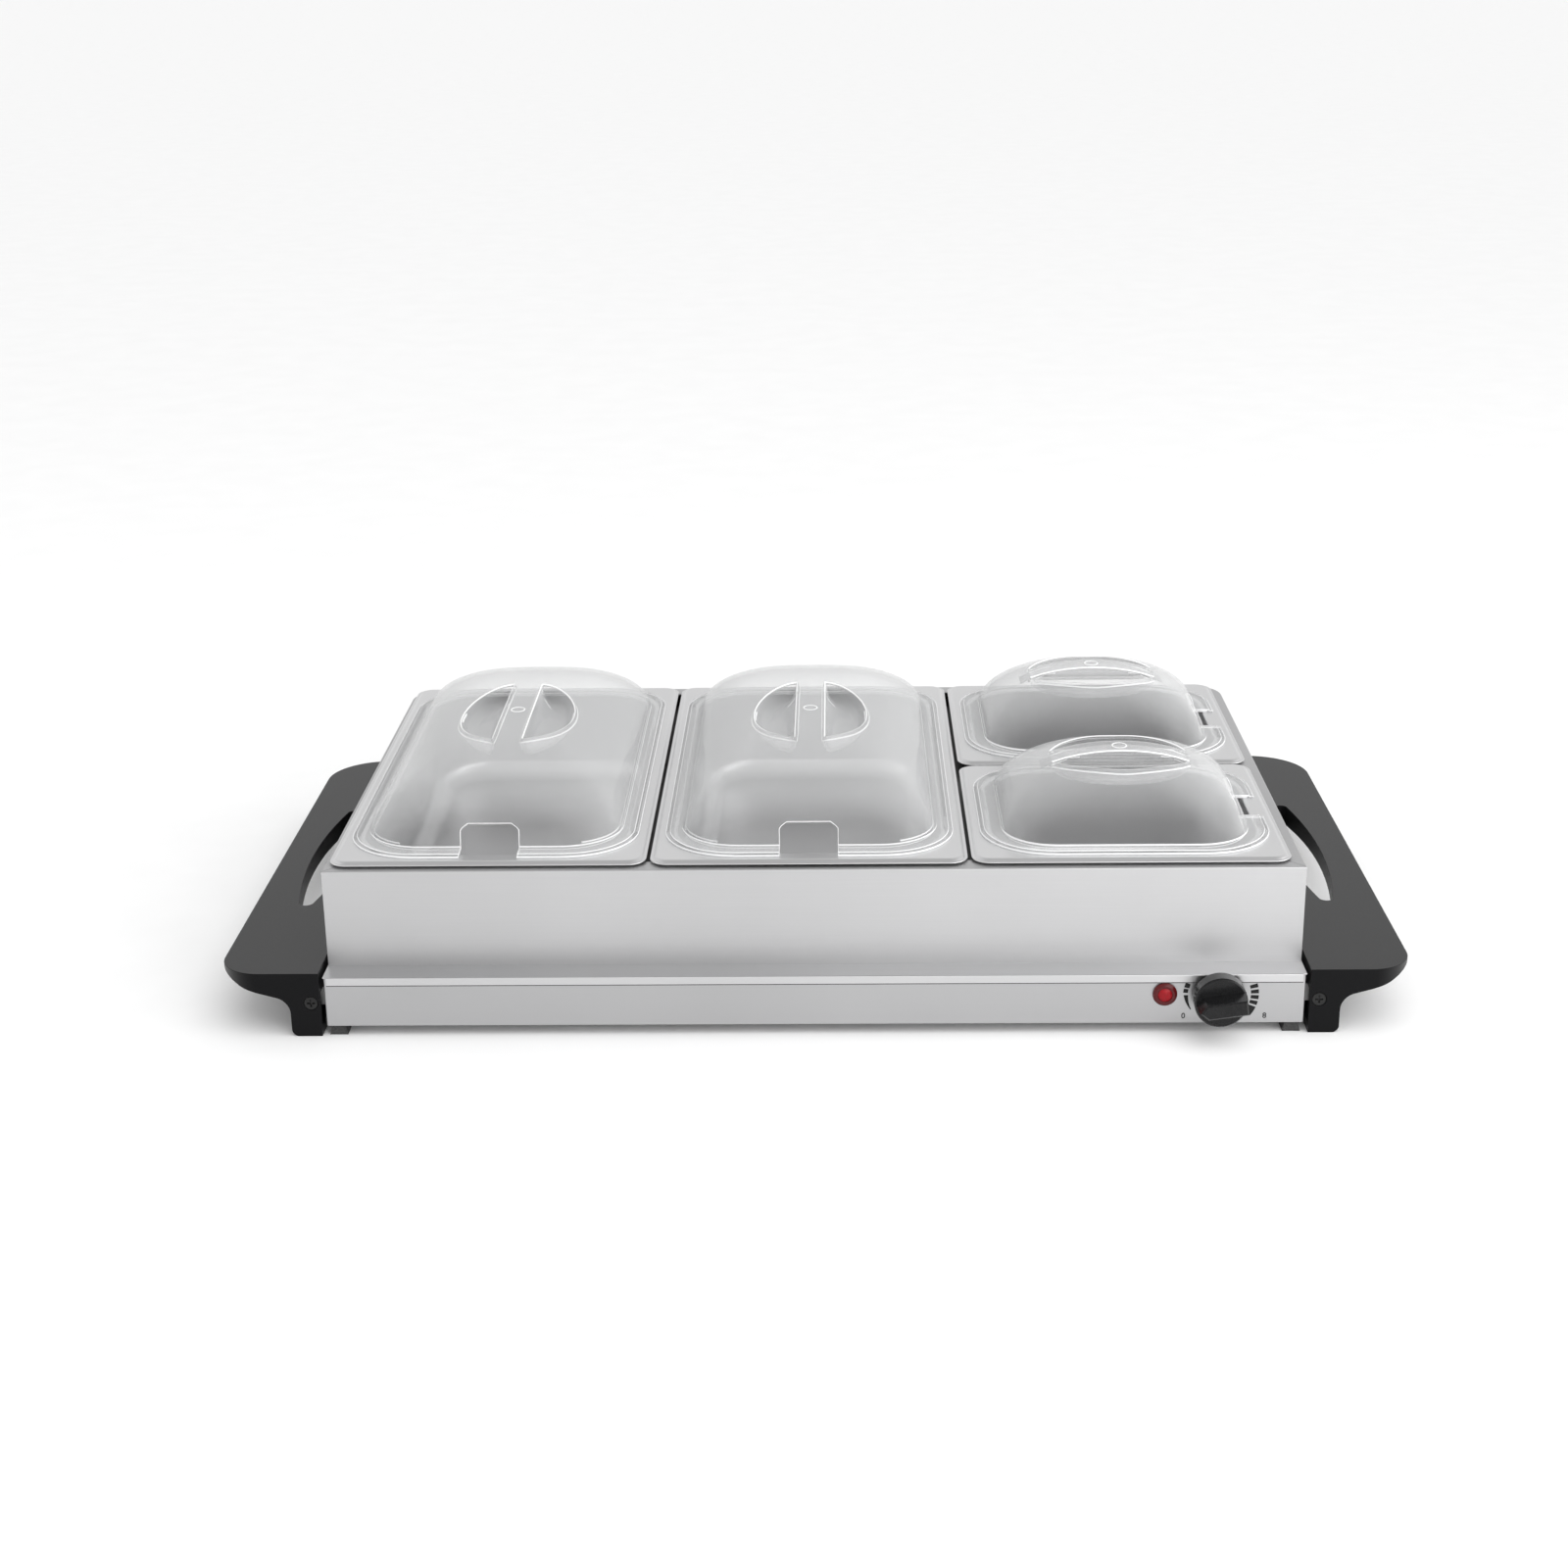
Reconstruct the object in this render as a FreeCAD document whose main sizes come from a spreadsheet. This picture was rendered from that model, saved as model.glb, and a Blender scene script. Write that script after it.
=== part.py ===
"""Electric food warmer tray with a lift-off pan frame, four pans and four clear lids.

Millimetres, +Z up. The origin lies on the table, under the middle of the whole product between
the face of its knob and the end of its cord gland. The front, with the lamp and the knob, looks
along -Y.
"""
import FreeCAD, Part
import Sketcher
import math
import os
import re

doc = FreeCAD.newDocument("food_warmer")
sheet = doc.addObject("Spreadsheet::Sheet", "sizes")

# ---------------------------------------------------------------------------------------------
# Driving sizes, each written once
# ---------------------------------------------------------------------------------------------
SIZES = [
    # base
    ("base_height", 29.2, "underside of the housing to the top of the hot plate"),
    ("foot_height", 6, "table to the underside of the housing"),
    ("sheet_steel", 0.8, "thickness of the housing, hot plate and bottom cover"),
    ("plate_lip", 4.7, "height of the folded lips of the hot plate"),
    ("plate_lip_inset", 2, "end of a lip to the side edge of the hot plate"),
    ("housing_inset", 0.4, "side of the housing to the side edge of the hot plate"),
    ("housing_flange", 24, "width of the inward flange under the housing"),
    ("cover_inset", 14, "edge of the bottom cover to the side of the housing"),
    ("vent_length", 46, "length of a vent slot in the bottom cover"),
    ("vent_width", 4, "width of a vent slot"),
    ("vent_pitch", 12, "spacing of the vent slots"),
    ("vent_count", 9, "slots in one row"),
    ("screw_shank", 3, "diameter of the cover screws"),
    ("screw_head", 5.6, "diameter of the head of a cover screw"),
    ("screw_head_height", 1.8, "height of the head of a cover screw"),
    ("screw_fit", 0.1, "radial clearance round a screw shank"),
    ("pad_size", 10, "foot of a rubber pad, side to side"),
    ("pad_top", 6.4, "top of a rubber pad, side to side"),
    ("pad_inset", 6.4, "centre of a rubber pad to the side of the housing"),
    # handles
    ("handle_reach", 57, "inner to outer edge of a handle"),
    ("handle_gap", 2, "base to the inner edge of a handle"),
    ("handle_rise", 2.6, "top of a handle above the hot plate"),
    ("handle_edge", 2.4, "height of the thin outer edge of a handle"),
    ("handle_knee_x", 14, "outer edge of a handle to the lower end of its bulge"),
    ("handle_knee_z", 9.4, "top of a handle to the lower end of its bulge"),
    ("handle_root_z", 16.6, "top of a handle to the root of its leg"),
    ("handle_leg", 17, "thickness of the leg of a handle"),
    ("handle_front_radius", 24, "outer front corner in plan"),
    ("handle_rear_radius", 36, "outer rear corner in plan"),
    ("handle_root_radius", 10, "hollow curve between leg and grip"),
    ("handle_knee_radius", 30, "rounding of the bulge"),
    ("handle_toe_radius", 4, "rounding of the lower outer edge of the leg"),
    ("slot_length", 190, "hand slot, front to back"),
    ("slot_inner", 15.5, "inner edge of a handle to the hand slot, at its widest"),
    ("slot_outer", 38.5, "inner edge of a handle to the outer side of the slot, at its widest"),
    ("slot_tip", 27.5, "inner edge of a handle to the tips of the slot"),
    ("slot_tip_radius", 4, "rounding of the tips of the slot"),
    ("leg_wall", 4, "walls round the hollow in the leg"),
    ("arch_length", 220, "raised stretch between the two toes of a leg"),
    ("arch_rise", 8, "height of that raised stretch"),
    ("bracket_sheet", 1.5, "thickness of a handle bracket"),
    ("bracket_inset", 10, "end of a handle bracket to the front or rear of the base"),
    ("bracket_height", 10, "height of a handle bracket"),
    ("handle_screw_shank", 4, "diameter of the handle screws"),
    ("handle_screw_head", 7.4, "diameter of the head of a handle screw"),
    ("handle_screw_sink", 2, "depth of the recess for that head"),
    ("handle_screw_x", 5.2, "inner edge of a handle to the axis of its screws"),
    ("handle_screw_z", 20, "axis of the handle screws above the table"),
    # heating
    ("tube_diameter", 6.4, "tubular heating element"),
    ("tube_runs", 4, "number of runs, an even number"),
    ("tube_end", 50, "side of the heat shield tray to the bends"),
    ("tube_margin", 31, "front or rear of the tray to the nearest run"),
    ("touch_gap", 0.05, "gap left between round and flat faces that touch"),
    ("clamp_sheet", 0.8, "thickness of the clamp straps"),
    ("clamp_width", 12, "width of the clamp straps"),
    ("clamp_foot", 10, "length of each foot of a clamp strap"),
    ("shield_side", 21, "side of the hot plate to the heat shield tray"),
    ("shield_end", 38, "front or rear of the hot plate to the tray, on average"),
    ("shield_height", 17, "height of the heat shield tray"),
    ("shield_flange", 7, "flange that holds the tray to the hot plate"),
    ("mat_thickness", 8.5, "insulation mat"),
    # controls
    ("control_z", 23.4, "axis of the lamp and of the knob above the table"),
    ("knob_inset", 48.2, "knob axis to the right side of the hot plate"),
    ("lamp_pitch", 29.2, "lamp axis to the knob axis"),
    ("knob_diameter", 27.6, "round body of the knob"),
    ("knob_depth", 8.6, "round body of the knob, front to back"),
    ("knob_wall", 2.2, "wall of the hollow round body"),
    ("knob_gap", 4.4, "housing to the back of the knob"),
    ("grip_length", 26.4, "bar grip, nose to tail"),
    ("grip_width", 9.6, "bar grip at its root"),
    ("grip_draft", 4, "draft of the sides of the bar grip, degrees"),
    ("grip_depth", 11, "how far the bar grip stands out"),
    ("grip_nose", 4.6, "length of the pointed nose of the bar grip"),
    ("grip_turn", 8, "turn of the grip from level in the position shown, degrees"),
    ("knob_hub", 11, "hub of the knob"),
    ("shaft_diameter", 6, "thermostat shaft"),
    ("shaft_flat", 1.5, "depth of the flat on the shaft"),
    ("shaft_fit", 0.05, "radial clearance of the shaft in its bush"),
    ("bush_diameter", 9.4, "threaded bush of the thermostat"),
    ("bush_reach", 3.6, "how far the bush stands out of the housing"),
    ("nut_width", 14, "thermostat nut across flats"),
    ("nut_height", 2.4, "thermostat nut"),
    ("thermostat_width", 26, "thermostat body"),
    ("thermostat_depth", 24, "thermostat body"),
    ("thermostat_height", 20, "thermostat body"),
    ("bezel_diameter", 12, "lamp bezel"),
    ("bezel_height", 2.2, "lamp bezel in front of the housing"),
    ("barrel_diameter", 9, "lamp barrel behind the bezel"),
    ("barrel_length", 17, "lamp barrel behind the bezel"),
    ("barrel_wall", 1, "wall of the lamp barrel"),
    ("lens_diameter", 7.8, "lamp lens"),
    ("lens_crown", 1.1, "how far the lens bulges"),
    ("clip_diameter", 14, "push-on lamp clip"),
    ("clip_sheet", 0.6, "thickness of the lamp clip"),
    ("bulb_diameter", 5, "neon bulb"),
    ("bulb_length", 12, "neon bulb"),
    # wiring
    ("gland_inset", 81, "axis of the cord gland to the right side of the hot plate"),
    ("gland_diameter", 17, "outer flange of the cord gland"),
    ("gland_bore", 7.4, "bore of the cord gland"),
    ("gland_hole", 12, "hole in the housing for the gland"),
    ("gland_height", 7, "gland behind the housing"),
    ("gland_z", 19, "axis of the gland above the table"),
    ("block_length", 34, "terminal block"),
    ("block_depth", 18, "terminal block"),
    ("block_height", 12, "terminal block"),
    ("block_inset", 121, "middle of the terminal block to the right side of the hot plate"),
    ("block_y", 18.4, "rear wall to the middle of the terminal block"),
    ("lead_diameter", 2.4, "insulated internal leads"),
    ("fuse_diameter", 4, "thermal fuse"),
    ("fuse_length", 14, "thermal fuse"),
    # pan frame
    ("frame_height", 56.4, "pan frame"),
    ("frame_side", 4.5, "pan rims to the sides of the pan frame, on average"),
    ("frame_end", 4.25, "pan rims to the front and rear of the pan frame"),
    ("frame_inset", 0.5, "side of the pan frame to the side of the hot plate"),
    ("front_ledge", 17, "front of the hot plate to the front of the pan frame"),
    ("rear_ledge", 9.5, "rear of the pan frame to the rear of the hot plate"),
    ("frame_sheet", 0.8, "thickness of the pan frame"),
    ("frame_flange", 12.7, "width of the top flange"),
    ("frame_seam", 0.3, "open seam between the front panel and the wrap"),
    ("frame_corner", 20, "rear corners of the wrap"),
    ("frame_seat", 2.4, "upturned inner edge that the pan rims hang on"),
    ("seat_play", 0.4, "notches in that edge to what passes through them"),
    ("divider_width", 20, "channels between the pans"),
    ("divider_drop", 8, "depth of a channel below the top flange"),
    ("divider_play", 0.3, "end of a channel to the frame"),
    ("support_play", 3, "top of the small pan support to the inner edge of the frame"),
    # pans
    ("pan_width", 176, "pan over its rim, left to right"),
    ("pan_length", 325, "long pan over its rim, front to back"),
    ("pan_gap", 2, "gap between two pans"),
    ("small_gap", 1.6, "gap between the two small pans"),
    ("pan_shift", -1.8, "pans lie this far off centre in the frame"),
    ("pan_depth", 58, "rim to the underside of the floor"),
    ("pan_sheet", 0.7, "thickness of the pans"),
    ("rim_width", 13.5, "rim, outer edge to the opening"),
    ("rim_corner", 10, "outer corners of the rim"),
    ("rim_drop", 1.9, "drop from the flat rim to the lip"),
    ("rim_slope", 3.2, "width of the slope of the rim"),
    ("rim_lip", 1, "width of the lip outside the slope"),
    ("rim_bead", 5.2, "outer edge of the rim to the back of its pressed bead"),
    ("rim_bevel", 1.4, "bevel between the rim and the walls"),
    ("pan_corner", 36, "corners of the opening"),
    ("pan_draft", 4, "draft of the pan walls, degrees"),
    ("floor_radius", 13, "curve between the walls and the floor"),
    # lids
    ("lid_margin", 6.5, "edge of the pan rim to the edge of its lid"),
    ("lid_wall", 2, "thickness of the lids"),
    ("lid_flange", 9, "flange of a lid along its sides, its edge to the foot of the dome"),
    ("lid_end_flange", 12, "flange of a lid at its ends"),
    ("lid_step", 0.8, "height of the step on the flange"),
    ("lid_step_in", 2.4, "edge of a lid to the step"),
    ("lid_corner", 40, "corners of the lid flange"),
    ("lid_height", 39.6, "pan rim to the crown of a lid"),
    ("lid_round", 2.4, "fullness of the long dome along its bar"),
    ("small_lid_round", 2, "fullness of the short dome along its bar"),
    ("dome_corner", 0.455, "corner radius of the dome to its half width"),
    ("rib_height", 1, "rib under the lid that drops into the pan"),
    ("rib_play", 0.8, "rib to the edge of the pan opening"),
    ("well_width", 70, "finger well, across the bar, long lid"),
    ("well_length", 113, "finger well, along the bar, long lid"),
    ("small_well_width", 62, "finger well, across the bar, short lid"),
    ("small_well_length", 84, "finger well, along the bar, short lid"),
    ("well_depth", 15, "depth of the finger well below the crown"),
    ("well_draft", 10, "draft of the well, degrees"),
    ("well_tip", 0.76, "end radius of the well to its half width"),
    ("well_scoop", 8, "rounding of the floor of the well"),
    ("bar_width", 18, "bar across the finger well"),
    ("notch_width", 32.3, "ladle notch at the end of the bar"),
    ("notch_rise", 13, "height of the notch above the flange"),
    ("notch_reach", 30, "depth of the notch, from the edge of the lid"),
    ("notch_radius", 5.6, "upper corners of the notch"),
]
for row, (alias, number, meaning) in enumerate(SIZES, 1):
    sheet.set(f"A{row}", alias)
    sheet.set(f"B{row}", str(number))
    sheet.set(f"C{row}", meaning)
    sheet.setAlias(f"B{row}", alias)
doc.recompute()

# Places that follow from the sizes. Each is a formula on sizes and on other places.
PLACES = {
    "frame_width": "3 * pan_width + 2 * pan_gap + 2 * frame_side",
    "frame_depth": "pan_length + 2 * frame_end",
    "base_width": "frame_width + 2 * frame_inset",
    "base_depth": "frame_depth + front_ledge + rear_ledge",
    "base_setback": "(knob_gap + knob_depth + grip_depth - gland_height) / 2",
    "plate_top": "foot_height + base_height",
    "plate_under": "plate_top - sheet_steel",
    "base_half": "base_width / 2",
    "base_front": "base_setback - base_depth / 2",
    "base_rear": "base_setback + base_depth / 2",
    "housing_half": "base_half - housing_inset",
    "housing_front": "base_front + sheet_steel",
    "housing_rear": "base_rear - sheet_steel",
    "inside_front": "housing_front + sheet_steel",
    "inside_rear": "housing_rear - sheet_steel",
    "cover_half": "housing_half - cover_inset",
    "cover_screw_inset": "(cover_inset + housing_flange) / 2",
    "handle_in": "base_half + handle_gap",
    "handle_out": "handle_in + handle_reach",
    "handle_top": "plate_top + handle_rise",
    "screw_axis": "handle_in + handle_screw_x",
    "bracket_length": "base_depth - 2 * bracket_inset",
    "shield_width": "base_width - 2 * shield_side",
    "shield_depth": "base_depth - 2 * shield_end",
    "tube_run": "shield_width - 2 * tube_end",
    "tube_pitch": "(shield_depth - 2 * tube_margin) / (tube_runs - 1)",
    "tube_z": "plate_under - tube_diameter / 2 - touch_gap",
    "tube_half_span": "shield_depth / 2 - tube_margin",
    "shield_under": "plate_under - shield_height",
    "knob_x": "base_half - knob_inset",
    "lamp_x": "knob_x - lamp_pitch",
    "gland_x": "base_half - gland_inset",
    "block_x": "base_half - block_inset",
    "block_middle": "inside_rear - block_y",
    "frame_front": "base_front + front_ledge",
    "frame_rear": "frame_front + frame_depth",
    "frame_middle": "frame_front + frame_depth / 2",
    "frame_half": "frame_width / 2",
    "frame_top": "plate_top + frame_height",
    "seat_top": "frame_top + frame_seat",
    "opening_half": "frame_half - frame_flange",
    "opening_half_depth": "frame_depth / 2 - frame_flange",
    "rim_top": "seat_top + pan_sheet",
    "pan_pitch": "pan_width + pan_gap",
    "small_length": "(pan_length - small_gap) / 2",
    "small_shift": "(small_length + small_gap) / 2",
    "lid_width": "pan_width - 2 * lid_margin",
    "knob_back": "housing_front - knob_gap",
    "knob_face": "knob_back - knob_depth",
    "grip_face": "knob_face - grip_depth",
}
ALIASES = {alias for alias, number, meaning in SIZES}
WORD = re.compile(r"[a-z_]+[a-z_0-9]*")


def bind(formula):
    """Return a formula on sizes and places as a FreeCAD expression on the sheet."""
    def replace(match):
        word = match.group(0)
        if word in PLACES:
            return "(" + bind(PLACES[word]) + ")"
        return "sizes." + word if word in ALIASES else word
    return WORD.sub(replace, str(formula))


def value(formula):
    """Return the number that a formula stands for."""
    return float(sheet.evalExpression(bind(formula)))


# ---------------------------------------------------------------------------------------------
# Ways of making features
# ---------------------------------------------------------------------------------------------
def place(thing, x="0", y="0", z="0"):
    """Bind the place of an object to formulas."""
    for axis, formula in zip("xyz", (x, y, z)):
        thing.setExpression("Placement.Base." + axis, bind(formula))
    return thing


def feature(kind, name, **formulas):
    """Add an object and bind its properties to formulas."""
    thing = doc.addObject(kind, name)
    for prop, formula in formulas.items():
        thing.setExpression(prop, bind(formula))
    return thing


def box(name, x, y, z):
    """Add a box between three pairs of formulas."""
    spans = [f"({high}) - ({low})" for low, high in (x, y, z)]
    thing = feature("Part::Box", name, Length=spans[0], Width=spans[1], Height=spans[2])
    return place(thing, x[0], y[0], z[0])


def cylinder(name, diameter, length, x, y, z, axis="Z"):
    """Add a cylinder that starts at a point and runs along +X, +Y or +Z."""
    thing = feature("Part::Cylinder", name, Radius=f"({diameter}) / 2", Height=length)
    turns = {"X": ((0, 1, 0), 90), "Y": ((1, 0, 0), -90), "Z": ((0, 0, 1), 0)}
    direction, angle = turns[axis]
    thing.Placement.Rotation = FreeCAD.Rotation(FreeCAD.Vector(*direction), angle)
    return place(thing, x, y, z)


def fuse(name, *things):
    """Join objects into one."""
    thing = doc.addObject("Part::MultiFuse", name)
    thing.Shapes = list(things)
    return thing


def cut(name, base, *tools):
    """Cut tools from a base."""
    thing = doc.addObject("Part::Cut", name)
    thing.Base = base
    thing.Tool = tools[0] if len(tools) == 1 else fuse(name + "_tools", *tools)
    return thing


def common(name, *things):
    """Keep what the objects share."""
    thing = doc.addObject("Part::MultiCommon", name)
    thing.Shapes = list(things)
    return thing


def group(name, things):
    """Gather separate solids in one node."""
    thing = doc.addObject("Part::Compound", name)
    thing.Links = list(things)
    return thing


def mirrored(name, thing):
    """Add the mirror image of an object in the YZ plane."""
    image = doc.addObject("Part::Mirroring", name)
    image.Source = thing
    image.Normal = FreeCAD.Vector(1, 0, 0)
    return image


def body(name):
    """Add a PartDesign body."""
    return doc.addObject("PartDesign::Body", name)


def sketch(owner, name, plane="XY", level="0"):
    """Add a sketch parallel to an origin plane of its own body, or a free one without a body."""
    if owner is None:
        thing = doc.addObject("Sketcher::SketchObject", name)
        return place(thing, z=level)
    thing = owner.newObject("Sketcher::SketchObject", name)
    role = plane + "_Plane"
    origin_plane = [item for item in owner.Origin.OriginFeatures if item.Role == role][0]
    thing.AttachmentSupport = [(origin_plane, "")]
    thing.MapMode = "FlatFace"
    thing.setExpression("AttachmentOffset.Base.z", bind(level))
    return thing


def outline(drawing, corners):
    """Draw a closed outline. A corner is (x, y), or (x, y, radius) where an arc starts there.

    Every corner is tied to the origin and every radius is bound, so the outline is fully
    constrained. A negative radius turns the arc clockwise.
    """
    points = [FreeCAD.Vector(value(corner[0]), value(corner[1]), 0) for corner in corners]
    first = drawing.GeometryCount
    for number, corner in enumerate(corners):
        start = points[number]
        end = points[(number + 1) % len(points)]
        if len(corner) == 2:
            drawing.addGeometry(Part.LineSegment(start, end), False)
        else:
            drawing.addGeometry(arc(start, end, value(corner[2])), False)
    for number, corner in enumerate(corners):
        here = first + number
        after = first + (number + 1) % len(corners)
        # arcs run anticlockwise, so a clockwise one starts where it ends
        clockwise = len(corner) == 3 and value(corner[2]) < 0
        after_corner = corners[(number + 1) % len(corners)]
        after_clockwise = len(after_corner) == 3 and value(after_corner[2]) < 0
        end_of_here = 1 if clockwise else 2
        start_of_after = 2 if after_clockwise else 1
        drawing.addConstraint(Sketcher.Constraint("Coincident", here, end_of_here, after, start_of_after))
        start_of_here = 2 if clockwise else 1
        for kind, formula, distance in (
            ("DistanceX", corner[0], points[number].x),
            ("DistanceY", corner[1], points[number].y),
        ):
            index = drawing.addConstraint(Sketcher.Constraint(kind, -1, 1, here, start_of_here, distance))
            drawing.setExpression(f"Constraints[{index}]", bind(formula))
        if len(corner) == 3:
            radius = abs(value(corner[2]))
            index = drawing.addConstraint(Sketcher.Constraint("Radius", here, radius))
            drawing.setExpression(f"Constraints[{index}]", bind(f"abs({corner[2]})"))
    return drawing


def arc(start, end, radius):
    """Return the shorter arc between two points, anticlockwise for a positive radius."""
    chord = end - start
    half = chord.Length / 2
    rise = math.sqrt(max(radius * radius - half * half, 0))
    left = FreeCAD.Vector(-chord.y, chord.x, 0).normalize()
    centre = start + chord * 0.5 + left * (rise if radius > 0 else -rise)
    circle_at_centre = Part.Circle(centre, FreeCAD.Vector(0, 0, 1), abs(radius))
    if radius < 0:
        start, end = end, start
    angles = [math.atan2(point.y - centre.y, point.x - centre.x) for point in (start, end)]
    if angles[1] < angles[0]:
        angles[1] += 2 * math.pi
    return Part.ArcOfCircle(circle_at_centre, angles[0], angles[1])


def rectangle(drawing, x, y):
    """Draw a rectangle between two pairs of formulas."""
    return outline(drawing, [(x[0], y[0]), (x[1], y[0]), (x[1], y[1]), (x[0], y[1])])


def rounded(drawing, x, y, radius):
    """Draw a rectangle with rounded corners."""
    west, east, south, north = x[0], x[1], y[0], y[1]
    radius = f"({radius})"
    return outline(drawing, [
        (f"{west} + {radius}", south), (f"{east} - {radius}", south, radius),
        (east, f"{south} + {radius}"), (east, f"{north} - {radius}", radius),
        (f"{east} - {radius}", north), (f"{west} + {radius}", north, radius),
        (west, f"{north} - {radius}"), (west, f"{south} + {radius}", radius),
    ])


def centred(half, middle="0"):
    """Return the two formulas of a span about its middle."""
    return (f"({middle}) - ({half})", f"({middle}) + ({half})")


def circle(drawing, diameter, x="0", y="0"):
    """Draw a circle."""
    middle = FreeCAD.Vector(value(x), value(y), 0)
    normal = FreeCAD.Vector(0, 0, 1)
    number = drawing.addGeometry(Part.Circle(middle, normal, value(diameter) / 2), False)
    for kind, formula, distance in (("DistanceX", x, middle.x), ("DistanceY", y, middle.y)):
        index = drawing.addConstraint(Sketcher.Constraint(kind, -1, 1, number, 3, distance))
        drawing.setExpression(f"Constraints[{index}]", bind(formula))
    index = drawing.addConstraint(Sketcher.Constraint("Diameter", number, value(diameter)))
    drawing.setExpression(f"Constraints[{index}]", bind(diameter))
    return drawing


def pad(owner, drawing, length, down=False, taper=None, both_ways=False):
    """Pad a sketch along its normal, or against it."""
    thing = owner.newObject("PartDesign::Pad", drawing.Name + "_pad")
    thing.Profile = drawing
    thing.Reversed = down
    thing.Midplane = both_ways
    thing.setExpression("Length", bind(length))
    if taper is not None:
        thing.setExpression("TaperAngle", bind(taper))
    drawing.Visibility = False
    return thing


def pocket(owner, drawing, length, up=False, through=False, both_ways=False, taper=None):
    """Pocket a sketch against its normal, or along it."""
    thing = owner.newObject("PartDesign::Pocket", drawing.Name + "_pocket")
    thing.Profile = drawing
    thing.Reversed = up
    thing.Midplane = both_ways
    if through:
        thing.Type = "ThroughAll"
    else:
        thing.setExpression("Length", bind(length))
    if taper is not None:
        thing.setExpression("TaperAngle", bind(taper))
    return thing


def revolution(owner, drawing, axis):
    """Revolve a sketch about an axis of its own plane, H_Axis or V_Axis."""
    thing = owner.newObject("PartDesign::Revolution", drawing.Name + "_revolution")
    thing.Profile = drawing
    thing.ReferenceAxis = (drawing, [axis])
    thing.Angle = 360
    return thing


def rows(owner, source, axis, spacing, count):
    """Repeat a feature along an origin axis."""
    thing = owner.newObject("PartDesign::LinearPattern", source.Name + "_rows")
    thing.Originals = [source]
    role = axis + "_Axis"
    thing.Direction = ([item for item in owner.Origin.OriginFeatures if item.Role == role][0], [""])
    thing.setExpression("Length", bind(f"({spacing}) * ({count} - 1)"))
    thing.setExpression("Occurrences", bind(count))
    owner.Tip = thing
    return thing


def fillet(owner, base, wanted, radius):
    """Round the edges of the base that pass a test."""
    doc.recompute()
    names = [f"Edge{n}" for n, edge in enumerate(base.Shape.Edges, 1) if wanted(edge)]
    thing = owner.newObject("PartDesign::Fillet", base.Name + "_fillet")
    thing.Base = (base, names)
    thing.setExpression("Radius", bind(radius))
    return thing


def chamfer(owner, base, wanted, size):
    """Bevel the edges of the base that pass a test."""
    doc.recompute()
    names = [f"Edge{n}" for n, edge in enumerate(base.Shape.Edges, 1) if wanted(edge)]
    thing = owner.newObject("PartDesign::Chamfer", base.Name + "_chamfer")
    thing.Base = (base, names)
    thing.setExpression("Size", bind(size))
    return thing


def draft(owner, base, low, high, angle):
    """Lean the side faces between two levels inwards below the upper level."""
    doc.recompute()
    bottom, top = value(low), value(high)
    sides, level = [], None
    for number, face in enumerate(base.Shape.Faces, 1):
        reach = face.BoundBox
        if abs(reach.ZMin - bottom) < 1e-4 and abs(reach.ZMax - top) < 1e-4:
            sides.append(f"Face{number}")
        elif abs(reach.ZMin - top) < 1e-4 and abs(reach.ZMax - top) < 1e-4:
            level = number
    thing = owner.newObject("PartDesign::Draft", base.Name + "_draft")
    thing.Base = (base, sides)
    thing.NeutralPlane = (base, [f"Face{level}"])
    thing.setExpression("Angle", bind(angle))
    for turned in (True, False):
        thing.Reversed = turned
        doc.recompute()
        if thing.Shape.Volume < base.Shape.Volume:
            break
    return thing


def bevel(owner, base, wanted, across, down):
    """Bevel the edges round a top face with a wide, shallow slope."""
    thing = chamfer(owner, base, wanted, across)
    thing.ChamferType = "Two distances"
    thing.setExpression("Size2", bind(down))
    wide = base.Shape.BoundBox.XLength - 2 * value(across)
    for flip in (False, True):
        thing.FlipDirection = flip
        doc.recompute()
        tops = [face.BoundBox for face in thing.Shape.Faces if face.BoundBox.ZMin > base.Shape.BoundBox.ZMax - 1e-4]
        if tops and abs(tops[0].XLength - wide) < 1e-3:
            break
    return thing


def along(axis, *tests):
    """Return a test for straight edges along an axis that pass the other tests too."""
    def wanted(edge):
        if len(edge.Vertexes) != 2:
            return False
        run = edge.Vertexes[1].Point - edge.Vertexes[0].Point
        straight = run.Length > 1e-6 and abs(abs(getattr(run, axis)) - run.Length) < 1e-6
        return straight and all(test(edge) for test in tests)
    return wanted


def at(axis, formula, slack=1e-4):
    """Return a test for edges whose whole length lies at one coordinate."""
    target = value(formula)

    def wanted(edge):
        box_of_edge = edge.BoundBox
        low = getattr(box_of_edge, axis.upper() + "Min")
        high = getattr(box_of_edge, axis.upper() + "Max")
        return abs(low - target) < slack and abs(high - target) < slack
    return wanted


PARTS = []


def part(label, thing):
    """Name a finished sub-part."""
    thing.Label = label
    PARTS.append(thing)
    return thing


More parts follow.
